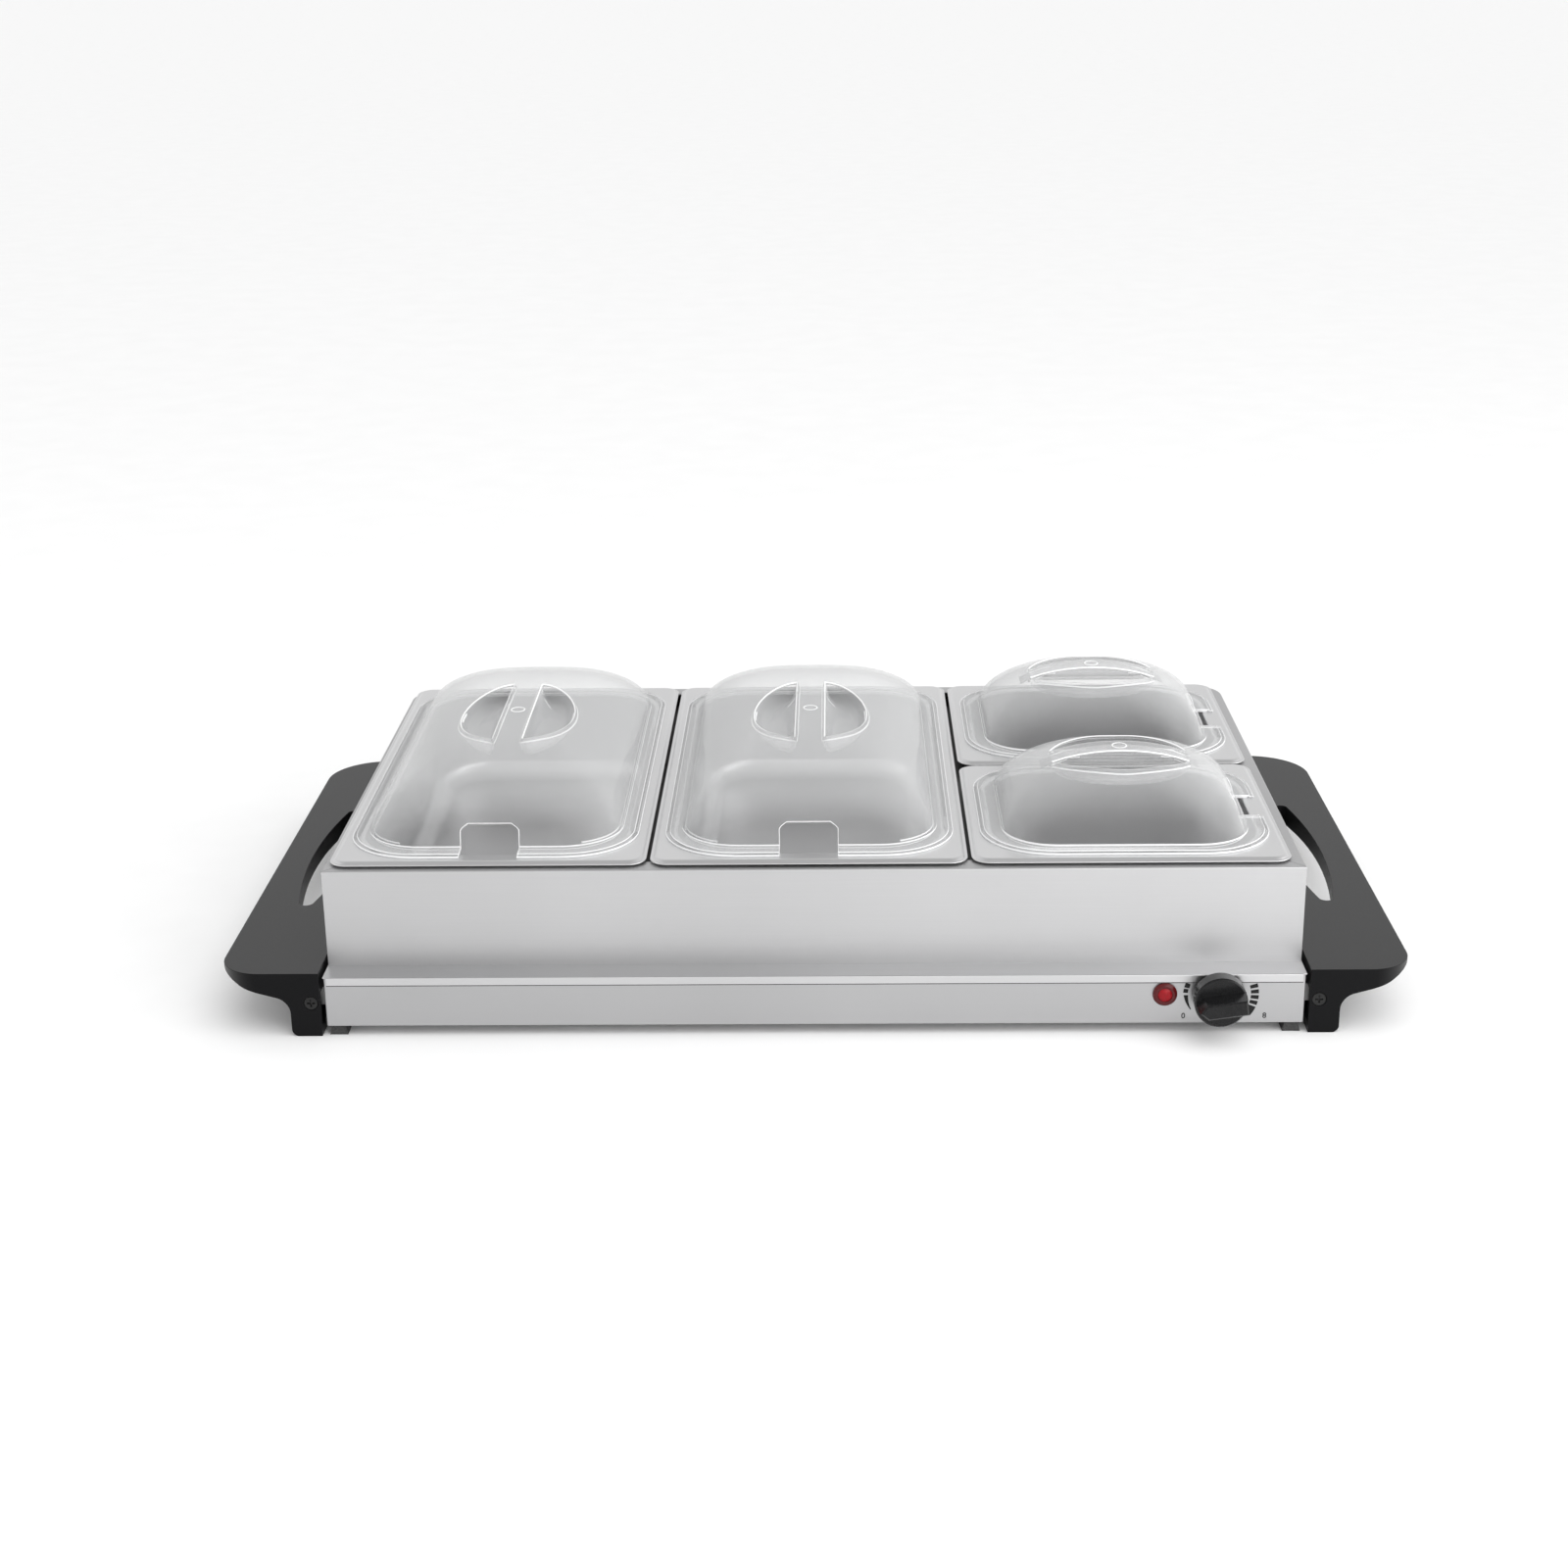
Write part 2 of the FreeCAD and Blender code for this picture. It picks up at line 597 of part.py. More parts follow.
# ---------------------------------------------------------------------------------------------
# Base housing: a folded sheet-steel box, open above, with an inward flange below
# ---------------------------------------------------------------------------------------------
def base_housing():
    """Make the housing with its holes for the lamp, thermostat, gland and cover screws."""
    owner = body("housing")
    walls = pad(owner, rectangle(sketch(owner, "housing_walls", level="foot_height"),
                                 centred("housing_half"), ("housing_front", "housing_rear")),
                "plate_under - foot_height")
    fillet(owner, walls, along("z"), "sheet_steel * 1.5")
    inside = rectangle(sketch(owner, "housing_inside", level="plate_under"),
                       centred("housing_half - sheet_steel"), ("inside_front", "inside_rear"))
    pocket(owner, inside, "plate_under - foot_height - sheet_steel")
    mouth = rectangle(sketch(owner, "housing_mouth", level="plate_under"),
                      centred("housing_half - housing_flange"),
                      ("housing_front + housing_flange", "housing_rear - housing_flange"))
    pocket(owner, mouth, "", through=True)
    controls = sketch(owner, "control_holes", "XZ", "-base_front")
    circle(controls, "barrel_diameter + 2 * screw_fit", "lamp_x", "control_z")
    circle(controls, "bush_diameter + 2 * screw_fit", "knob_x", "control_z")
    pocket(owner, controls, "3 * sheet_steel")
    gland = circle(sketch(owner, "gland_opening", "XZ", "-base_rear"),
                   "gland_hole + 2 * screw_fit", "gland_x", "gland_z")
    pocket(owner, gland, "3 * sheet_steel", up=True)
    screws = sketch(owner, "housing_screw_holes", level="plate_under")
    for x, y in cover_screw_spots():
        circle(screws, "screw_shank + 2 * screw_fit", x, y)
    pocket(owner, screws, "", through=True)
    return part("base_housing", owner)


def cover_screw_spots():
    """Return the places of the eight screws of the bottom cover."""
    x_edge = "(housing_half - cover_screw_inset)"
    ends = ("housing_front + cover_screw_inset", "housing_rear - cover_screw_inset")
    spots = [(f"{share} * {x_edge}", end) for share in ("-1", "-1 / 3", "1 / 3", "1") for end in ends]
    return spots


def hot_plate():
    """Make the top sheet with a folded lip along its front and rear."""
    owner = body("plate")
    top = pad(owner, rectangle(sketch(owner, "plate_top_sheet", level="plate_under"),
                               centred("base_half"), ("housing_front", "housing_rear")),
              "sheet_steel")
    lips = sketch(owner, "plate_lips", level="plate_top")
    lip_span = centred("base_half - plate_lip_inset")
    rectangle(lips, lip_span, ("base_front", "housing_front"))
    rectangle(lips, lip_span, ("housing_rear", "base_rear"))
    folded = pad(owner, lips, "plate_lip", down=True)
    edges = along("x", at("z", "plate_top"))
    outer = ("base_front", "base_rear")
    fillet(owner, folded, lambda edge: edges(edge) and any(at("y", y)(edge) for y in outer),
           "sheet_steel * 0.7")
    return part("hot_plate", owner)


def bottom_cover():
    """Make the cover with its screw holes and two rows of vent slots."""
    owner = body("cover")
    pad(owner, rectangle(sketch(owner, "cover_sheet", level="foot_height"),
                         centred("cover_half"), ("housing_front + cover_inset", "housing_rear - cover_inset")),
        "sheet_steel", down=True)
    screws = sketch(owner, "cover_screw_holes", level="foot_height")
    for x, y in cover_screw_spots():
        circle(screws, "screw_shank + 2 * screw_fit", x, y)
    pocket(owner, screws, "", through=True)
    for side in (-1, 1):
        middle = f"{side} * shield_width / 4"
        first = rectangle(sketch(owner, "vent_left" if side < 0 else "vent_right", level="foot_height"),
                          centred("vent_length / 2", middle),
                          centred("vent_width / 2", "base_setback - vent_pitch * (vent_count - 1) / 2"))
        slot = pocket(owner, first, "", through=True)
        rows(owner, slot, "Y", "vent_pitch", "vent_count")
    return part("bottom_cover", owner)


def cover_screws():
    """Make the eight pan-head screws of the bottom cover."""
    screws = []
    for number, (x, y) in enumerate(cover_screw_spots()):
        head = cylinder(f"cover_screw_head_{number}", "screw_head", "screw_head_height",
                        x, y, "foot_height - sheet_steel - screw_head_height")
        shank = cylinder(f"cover_screw_shank_{number}", "screw_shank", "screw_head_height + 7",
                         x, y, "foot_height - sheet_steel - screw_head_height")
        screws.append(fuse(f"cover_screw_{number}", head, shank))
    return part("bottom_cover_screws", group("cover_screw_set", screws))


def rubber_feet():
    """Make the four tapered rubber feet under the corners of the housing."""
    feet = []
    for x_side in (-1, 1):
        for y_place in ("housing_front + pad_inset", "housing_rear - pad_inset"):
            foot = feature("Part::Wedge", f"foot_{len(feet)}",
                           Xmin="0", Xmax="pad_size", Zmin="0", Zmax="pad_size",
                           Ymin="0", Ymax="foot_height",
                           X2min="(pad_size - pad_top) / 2", X2max="(pad_size + pad_top) / 2",
                           Z2min="(pad_size - pad_top) / 2", Z2max="(pad_size + pad_top) / 2")
            foot.Placement.Rotation = FreeCAD.Rotation(FreeCAD.Vector(1, 0, 0), 90)
            place(foot, f"{x_side} * (housing_half - pad_inset) - pad_size / 2",
                  f"{y_place} + pad_size / 2")
            feet.append(foot)
    return part("rubber_feet", group("foot_set", feet))


# ---------------------------------------------------------------------------------------------
# Handles: thick black mouldings with a hand slot, a hollow leg and two toes
# ---------------------------------------------------------------------------------------------
def handle_blank():
    """Make the solid of the right handle: its end profile within its plan outline."""
    profile = body("handle_profile")
    knee = "handle_out - handle_knee_x"
    leg = "handle_in + handle_leg"
    drawing = outline(sketch(profile, "handle_section", "XZ", "-base_setback"), [
        ("handle_in", "0"), (leg, "0"), (leg, "handle_top - handle_root_z"),
        (knee, "handle_top - handle_knee_z"), ("handle_out", "handle_top - handle_edge"),
        ("handle_out", "handle_top"), ("handle_in", "handle_top"),
    ])
    long_bar = pad(profile, drawing, "base_depth + 2", both_ways=True)
    root = fillet(profile, long_bar,
                  along("y", at("x", leg), at("z", "handle_top - handle_root_z")),
                  "handle_root_radius")
    toe = fillet(profile, root, along("y", at("x", leg), at("z", "0")), "handle_toe_radius")
    fillet(profile, toe, along("y", at("x", knee), at("z", "handle_top - handle_knee_z")),
           "handle_knee_radius")

    plan = body("handle_plan")
    block = pad(plan, rectangle(sketch(plan, "handle_outline", level="-1"),
                                ("handle_in", "handle_out"), ("base_front", "base_rear")),
                "handle_top + 2")
    front = fillet(plan, block, along("z", at("x", "handle_out"), at("y", "base_front")),
                   "handle_front_radius")
    fillet(plan, front, along("z", at("x", "handle_out"), at("y", "base_rear")),
           "handle_rear_radius")
    return common("handle_solid", profile, plan)


def handle_cutters():
    """Make the tools for the hand slot, the hollow leg, the arch and the screw holes."""
    slot = body("slot_tool")
    half = "slot_length / 2"
    tip = "handle_in + slot_tip"
    bows = {"slot_outer": "slot_outer - slot_tip", "slot_inner": "slot_tip - slot_inner"}
    radius = {side: f"(({half})^2 + ({bow})^2) / (2 * ({bow}))" for side, bow in bows.items()}
    drawing = outline(sketch(slot, "slot_lens", level="-1"), [
        (tip, f"base_setback - {half}", radius["slot_outer"]),
        (tip, f"base_setback + {half}", radius["slot_inner"]),
    ])
    lens = pad(slot, drawing, "handle_top + 2")
    fillet(slot, lens, along("z"), "slot_tip_radius")

    hollow = box("leg_hollow", ("handle_in - 1", "handle_in + handle_leg - leg_wall"),
                 ("base_front + leg_wall", "base_rear - leg_wall"),
                 ("foot_height", "handle_top - handle_root_z + leg_wall"))
    arch = body("arch_tool")
    raised = pad(arch, rectangle(sketch(arch, "arch_block", level="-1"),
                                 ("handle_in - 1", "handle_in + handle_leg + 1"),
                                 centred("arch_length / 2", "base_setback")), "arch_rise + 1")
    fillet(arch, raised, along("x", at("z", "arch_rise")), "arch_rise * 0.8")
    holes = []
    for end, start in (("front", "base_front - 1"), ("rear", "base_rear - handle_screw_sink")):
        holes.append(cylinder(f"{end}_head_recess", "handle_screw_head + 8 * screw_fit",
                              "handle_screw_sink + 1", "screw_axis", start, "handle_screw_z", "Y"))
    holes.append(cylinder("shank_bore", "handle_screw_shank + 2 * screw_fit", "base_depth",
                          "screw_axis", "base_front", "handle_screw_z", "Y"))
    return [slot, hollow, arch] + holes


def handles():
    """Make the right handle and its mirror image."""
    right = cut("handle_right", handle_blank(), *handle_cutters())
    return [part("right_handle", right), part("left_handle", mirrored("handle_left", right))]


def handle_brackets():
    """Make the steel strips on the housing sides whose end tabs take the handle screws."""
    half = "bracket_length / 2"
    low, high = centred("bracket_height / 2", "handle_screw_z")
    strip = box("bracket_strip", ("housing_half", "housing_half + bracket_sheet"),
                centred(half, "base_setback"), (low, high))
    tabs = []
    first, last = centred(half, "base_setback")
    for end, span in (("front", (first, f"{first} + bracket_sheet")),
                      ("rear", (f"{last} - bracket_sheet", last))):
        tabs.append(box(f"bracket_tab_{end}", ("housing_half", "screw_axis + handle_screw_shank"),
                        span, (low, high)))
    hole = cylinder("bracket_bore", "handle_screw_shank + 2 * screw_fit", "base_depth",
                    "screw_axis", "base_front", "handle_screw_z", "Y")
    right = cut("bracket_right", fuse("bracket_solid", strip, *tabs), hole)
    return [part("right_handle_bracket", right),
            part("left_handle_bracket", mirrored("bracket_left", right))]


def handle_screws():
    """Make the two cross-head screws of each handle."""
    screws = []
    reach = "base_depth / 2 - bracket_length / 2 + bracket_sheet + 3"
    for end, sign in (("front", -1), ("rear", 1)):
        face = f"base_setback + {sign} * (base_depth / 2 - 0.2)"
        head = cylinder(f"handle_head_{end}", "handle_screw_head", "handle_screw_sink - 0.2", "screw_axis",
                        face if sign < 0 else f"{face} - handle_screw_sink + 0.2", "handle_screw_z", "Y")
        shank = cylinder(f"handle_shank_{end}", "handle_screw_shank", reach, "screw_axis",
                         face if sign < 0 else f"{face} - ({reach})", "handle_screw_z", "Y")
        driven = []
        for number, (wide, tall) in enumerate((("0.5", "2.2"), ("2.2", "0.5"))):
            driven.append(box(f"drive_{end}_{number}", centred(wide, "screw_axis"),
                              centred("1.1", face), centred(tall, "handle_screw_z")))
        screws.append(cut(f"handle_screw_{end}", fuse(f"handle_screw_solid_{end}", head, shank), *driven))
    right = group("handle_screws_right", screws)
    return [part("right_handle_screws", right),
            part("left_handle_screws", mirrored("handle_screws_left", right))]


# ---------------------------------------------------------------------------------------------
# Heating: a tube bent back and forth under the hot plate, its clamps, shield and mat
# ---------------------------------------------------------------------------------------------
def run_line(number):
    """Return the formula of the y of one run of the element."""
    return f"frame_middle - tube_half_span + {number} * tube_pitch"


def heating_element():
    """Make the tube from straight runs and half-round bends, with two tails on the right."""
    pieces = []
    count = int(round(value("tube_runs")))
    half = "tube_run / 2"
    for number in range(count):
        outer = number in (0, count - 1)
        length = "tube_run + tube_end" if outer else "tube_run"
        pieces.append(cylinder(f"tube_run_{number}", "tube_diameter", length,
                               f"-({half})", run_line(number), "tube_z", "X"))
    for number in range(count - 1):
        bend = feature("Part::Torus", f"tube_bend_{number}",
                       Radius1="tube_pitch / 2", Radius2="tube_diameter / 2", Angle3="180")
        left = number % 2 == 0
        bend.Placement.Rotation = FreeCAD.Rotation(FreeCAD.Vector(0, 0, 1), 90 if left else -90)
        place(bend, f"-({half})" if left else half, run_line(number + 0.5), "tube_z")
        pieces.append(bend)
    return part("heating_element", fuse("element_tube", *pieces))


def element_terminals():
    """Make the ceramic end plugs with their flat tabs on the two tails."""
    ends = []
    start = "shield_width / 2"
    for number in (0, int(round(value("tube_runs"))) - 1):
        y = run_line(number)
        plug = cylinder(f"end_plug_{number}", "tube_diameter + 1.2", "5", start, y, "tube_z - 0.8", "X")
        tab = box(f"end_tab_{number}", (start, f"{start} + 12"), centred("2.4", y),
                  centred("0.4", "tube_z - 0.8"))
        ends.append(fuse(f"element_end_{number}", plug, tab))
    return part("element_terminals", group("element_ends", ends))


def element_clamps():
    """Make the saddle straps that hold the tube up against the hot plate."""
    straps = []
    count = int(round(value("tube_runs")))
    radius = "tube_diameter / 2 + touch_gap"
    for number in range(count):
        for side in (-1, 1):
            name = f"strap_{number}_{'left' if side < 0 else 'right'}"
            middle = f"{side} * tube_run / 4"
            y = run_line(number)
            span = centred("clamp_width / 2", middle)
            feet = box(name + "_feet", span, centred(f"{radius} + clamp_sheet + clamp_foot", y),
                       ("plate_under - clamp_sheet", "plate_under"))
            saddle = box(name + "_saddle", span, centred(f"{radius} + clamp_sheet", y),
                         (f"tube_z - ({radius}) - clamp_sheet", "plate_under"))
            gap = box(name + "_gap", centred("clamp_width", middle), centred(radius, y),
                      (f"tube_z - ({radius})", "plate_top"))
            straps.append(cut(name, fuse(name + "_solid", feet, saddle), gap))
    return part("element_clamps", group("strap_set", straps))


def heat_shield():
    """Make the pressed tray that hangs under the hot plate and holds the insulation mat."""
    owner = body("shield")
    half = "shield_width / 2"
    depth = centred("shield_depth / 2", "frame_middle")
    pad(owner, rounded(sketch(owner, "shield_rim", level="plate_under"),
                       centred(f"{half} + shield_flange"),
                       centred("shield_depth / 2 + shield_flange", "frame_middle"), "12"),
        "clamp_sheet", down=True)
    pad(owner, rounded(sketch(owner, "shield_wall", level="plate_under"), centred(half), depth, "8"),
        "shield_height", down=True)
    inner = rounded(sketch(owner, "shield_inside", level="plate_under"),
                    centred(f"{half} - clamp_sheet"),
                    centred("shield_depth / 2 - clamp_sheet", "frame_middle"), "7.2")
    pocket(owner, inner, "shield_height - clamp_sheet")
    tails = sketch(owner, "shield_tails", "YZ", f"{half} - 2 * clamp_sheet")
    for number in (0, int(round(value("tube_runs"))) - 1):
        circle(tails, "tube_diameter + 2", run_line(number), "tube_z")
    pocket(owner, tails, "shield_flange + 3 * clamp_sheet", up=True)
    return part("heat_shield", owner)


def insulation_mat():
    """Make the fibre mat that lies in the tray."""
    mat = box("mat", centred("shield_width / 2 - 4 * clamp_sheet"),
              centred("shield_depth / 2 - 4 * clamp_sheet", "frame_middle"),
              ("shield_under + clamp_sheet", "shield_under + clamp_sheet + mat_thickness"))
    return part("insulation_mat", mat)


# ---------------------------------------------------------------------------------------------
# Thermostat and knob
# ---------------------------------------------------------------------------------------------
def thermostat():
    """Make the thermostat body with its bush, bored for the shaft."""
    rear = "inside_front + thermostat_depth"
    case = box("thermostat_case", centred("thermostat_width / 2", "knob_x"), ("inside_front", rear),
               centred("thermostat_height / 2", "control_z"))
    tabs = box("thermostat_tabs", centred("thermostat_width / 2 + 7", "knob_x"),
               (f"{rear} - 5", f"{rear} - 4.2"), centred("3", "control_z"))
    bush = cylinder("thermostat_bush", "bush_diameter", "bush_reach + sheet_steel", "knob_x",
                    "housing_front - bush_reach", "control_z", "Y")
    bore = cylinder("thermostat_bore", "shaft_diameter + 2 * shaft_fit",
                    "bush_reach + sheet_steel + thermostat_depth * 0.6", "knob_x",
                    "housing_front - bush_reach", "control_z", "Y")
    return part("thermostat", cut("thermostat_body", fuse("thermostat_solid", case, tabs, bush), bore))


def thermostat_nut():
    """Make the thin hexagon nut that clamps the bush to the housing."""
    blank = feature("Part::Prism", "nut_blank", Circumradius="nut_width / sqrt(3)", Height="nut_height")
    blank.Polygon = 6
    blank.Placement.Rotation = FreeCAD.Rotation(FreeCAD.Vector(1, 0, 0), 90)
    place(blank, "knob_x", "housing_front", "control_z")
    bore = cylinder("nut_bore", "bush_diameter + 2 * screw_fit", "nut_height * 3", "knob_x",
                    "housing_front - 2 * nut_height", "control_z", "Y")
    return part("thermostat_nut", cut("nut", blank, bore))


def thermostat_shaft():
    """Make the shaft with the flat that drives the knob."""
    start = "knob_face + 2.6"
    end = "inside_front + thermostat_depth * 0.55"
    rod = cylinder("shaft_rod", "shaft_diameter", f"{end} - ({start})", "knob_x", start, "control_z", "Y")
    flat = box("shaft_flat_tool", centred("shaft_diameter", "knob_x"),
               (f"{start} - 1", "housing_front - bush_reach - 0.4"),
               ("control_z + shaft_diameter / 2 - shaft_flat", "control_z + shaft_diameter"))
    return part("thermostat_shaft", cut("shaft", rod, flat))


def knob():
    """Make the knob: a hollow round body, a hub on the shaft and a drafted bar grip."""
    owner = body("knob_body")
    disc = pad(owner, circle(sketch(owner, "knob_disc", "XZ", "-knob_back"), "knob_diameter",
                             "knob_x", "control_z"), "knob_depth")
    chamfer(owner, disc, at("y", "knob_face"), "0.8")
    hollow = sketch(owner, "knob_hollow", "XZ", "-knob_back")
    circle(hollow, "knob_diameter - 2 * knob_wall", "knob_x", "control_z")
    circle(hollow, "knob_hub", "knob_x", "control_z")
    pocket(owner, hollow, "knob_depth - knob_wall", up=True)
    bore = sketch(owner, "knob_bore", "XZ", "-knob_back")
    circle(bore, "shaft_diameter", "knob_x", "control_z")
    pocket(owner, bore, "knob_depth - 2.6", up=True)
    key = sketch(owner, "knob_key", "XZ", "-knob_face")
    rectangle(key, centred("shaft_diameter / 2 + 0.2", "knob_x"),
              ("control_z + shaft_diameter / 2 - shaft_flat", "control_z + shaft_diameter / 2 + 0.2"))
    pad(owner, key, "knob_depth", down=True)
    grip = sketch(owner, "knob_grip", "XZ", "-knob_face")
    tail = "grip_length / 2"
    shoulder = "grip_nose - grip_length / 2"
    points = [(f"-({tail})", "0"), (shoulder, "-grip_width / 2"), (tail, "-grip_width / 2"),
              (tail, "grip_width / 2"), (shoulder, "grip_width / 2")]
    outline(grip, [
        (f"knob_x + ({x}) * cos(grip_turn) - ({z}) * sin(grip_turn)",
         f"control_z + ({x}) * sin(grip_turn) + ({z}) * cos(grip_turn)") for x, z in points
    ])
    bar = pad(owner, grip, "grip_depth", taper="-grip_draft")
    chamfer(owner, bar, at("y", "grip_face"), "0.8")
    return part("knob", owner)


# ---------------------------------------------------------------------------------------------
# Indicator lamp
# ---------------------------------------------------------------------------------------------
def lamp_part(name, corners):
    """Revolve a half section about the lamp axis. Corners are (radius, distance from the axis end)."""
    owner = body(name)
    drawing = sketch(owner, name + "_section", "XY")
    outline(drawing, corners)
    revolution(owner, drawing, "V_Axis")
    return place(owner, "lamp_x", "housing_front", "control_z")


def lamp():
    """Make the bezel with its barrel, the lens, the push-on clip and the neon bulb."""
    bore = "barrel_diameter / 2 - barrel_wall"
    seat = "lens_diameter / 2 + 0.05"
    bezel = lamp_part("lamp_bezel_body", [
        (bore, "barrel_length"), (bore, "0"), (seat, "0"), (seat, "-bezel_height"),
        ("bezel_diameter / 2 - 1", "-bezel_height"), ("bezel_diameter / 2", "1 - bezel_height"),
        ("bezel_diameter / 2", "0"), ("barrel_diameter / 2", "0"),
        ("barrel_diameter / 2", "barrel_length"),
    ])
    part("lamp_bezel", bezel)
    half = "lens_diameter / 2"
    dome = f"(({half})^2 + lens_crown^2) / (2 * lens_crown)"
    lens = lamp_part("lamp_lens_body", [
        ("0", "-bezel_height - lens_crown + 0.4", dome), (half, "0.4 - bezel_height"), (half, "0"), ("0", "0"),
    ])
    part("lamp_lens", lens)
    clip = cut("clip_ring",
               cylinder("clip_disc", "clip_diameter", "clip_sheet", "lamp_x", "inside_front", "control_z", "Y"),
               cylinder("clip_hole", "barrel_diameter + 2 * screw_fit", "3 * clip_sheet", "lamp_x",
                        "inside_front - clip_sheet", "control_z", "Y"))
    part("lamp_clip", clip)
    glass = "bulb_diameter / 2"
    bulb = lamp_part("neon_bulb_body", [
        ("0", "1.2", glass), (glass, f"1.2 + {glass}"), (glass, "bulb_length + 1.2"), ("0", "bulb_length + 1.2"),
    ])
    part("neon_bulb", bulb)
    plug = cylinder("lamp_plug_disc", "barrel_diameter - 2 * barrel_wall", "2.5", "lamp_x",
                    "housing_front + bulb_length + 1.2", "control_z", "Y")
    part("lamp_plug", plug)


# ---------------------------------------------------------------------------------------------
# Inlet and wiring
# ---------------------------------------------------------------------------------------------
def cord_gland():
    """Make the bushing in the rear wall: flange outside, groove in the wall, collar inside."""
    outer = cylinder("gland_flange", "gland_diameter", "gland_height * 0.5", "gland_x", "housing_rear",
                     "gland_z", "Y")
    nose = feature("Part::Cone", "gland_nose", Radius1="gland_diameter / 2 - 1",
                   Radius2="gland_bore / 2 + 1.6", Height="gland_height * 0.5")
    nose.Placement.Rotation = FreeCAD.Rotation(FreeCAD.Vector(1, 0, 0), -90)
    place(nose, "gland_x", "housing_rear + gland_height * 0.5", "gland_z")
    neck = cylinder("gland_neck", "gland_hole", "3 * sheet_steel", "gland_x", "housing_rear - 2 * sheet_steel",
                    "gland_z", "Y")
    collar = cylinder("gland_collar", "gland_diameter - 2", "3", "gland_x", "inside_rear - 3", "gland_z", "Y")
    bore = cylinder("gland_bore_tool", "gland_bore", "gland_height + 20", "gland_x", "inside_rear - 10",
                    "gland_z", "Y")
    return part("cord_gland", cut("gland", fuse("gland_solid", outer, nose, neck, collar), bore))


def terminal_block():
    """Make the three-way terminal block on the housing floor flange."""
    floor = "foot_height + sheet_steel"
    block = box("block_case", centred("block_length / 2", "block_x"), centred("block_depth / 2", "block_middle"),
                (floor, f"{floor} + block_height"))
    wells = []
    for way in (-1, 0, 1):
        x = f"block_x + {way} * block_length / 3.4"
        for side in (-1, 1):
            wells.append(cylinder(f"block_well_{way + 1}_{side + 1}", "4", "5", x,
                                  f"block_middle + {side} * block_depth / 4", f"{floor} + block_height - 4"))
    return part("terminal_block", cut("block", block, *wells))


def earth_screw():
    """Make the earth screw and its washer on the floor flange."""
    floor = "foot_height + sheet_steel"
    x = "block_x - block_length"
    washer = cylinder("earth_washer", "8", "1", x, "block_middle + 8", floor)
    head = cylinder("earth_head", "6", "3.4", x, "block_middle + 8", floor)
    return part("earth_screw", fuse("earth", washer, head))


def thermal_fuse():
    """Make the thermal fuse that is strapped under the hot plate at the right."""
    x = "shield_width / 2 + shield_flange + fuse_diameter / 2 + 0.6"
    case = cylinder("fuse_case", "fuse_diameter", "fuse_length", x, "frame_middle - fuse_length / 2",
                    "plate_under - fuse_diameter / 2 - touch_gap", "Y")
    return part("thermal_fuse", case)


def lead(label, stops):
    """Sweep one insulated lead along straight runs with square bends."""
    points = [FreeCAD.Vector(*(value(formula) for formula in stop)) for stop in stops]
    ring = Part.Wire([Part.makeCircle(value("lead_diameter") / 2, points[0], points[1] - points[0])])
    thing = doc.addObject("Part::Feature", label)
    thing.Shape = Part.makePolygon(points).makePipeShell([ring], True, False, 1)
    return part(label, thing)


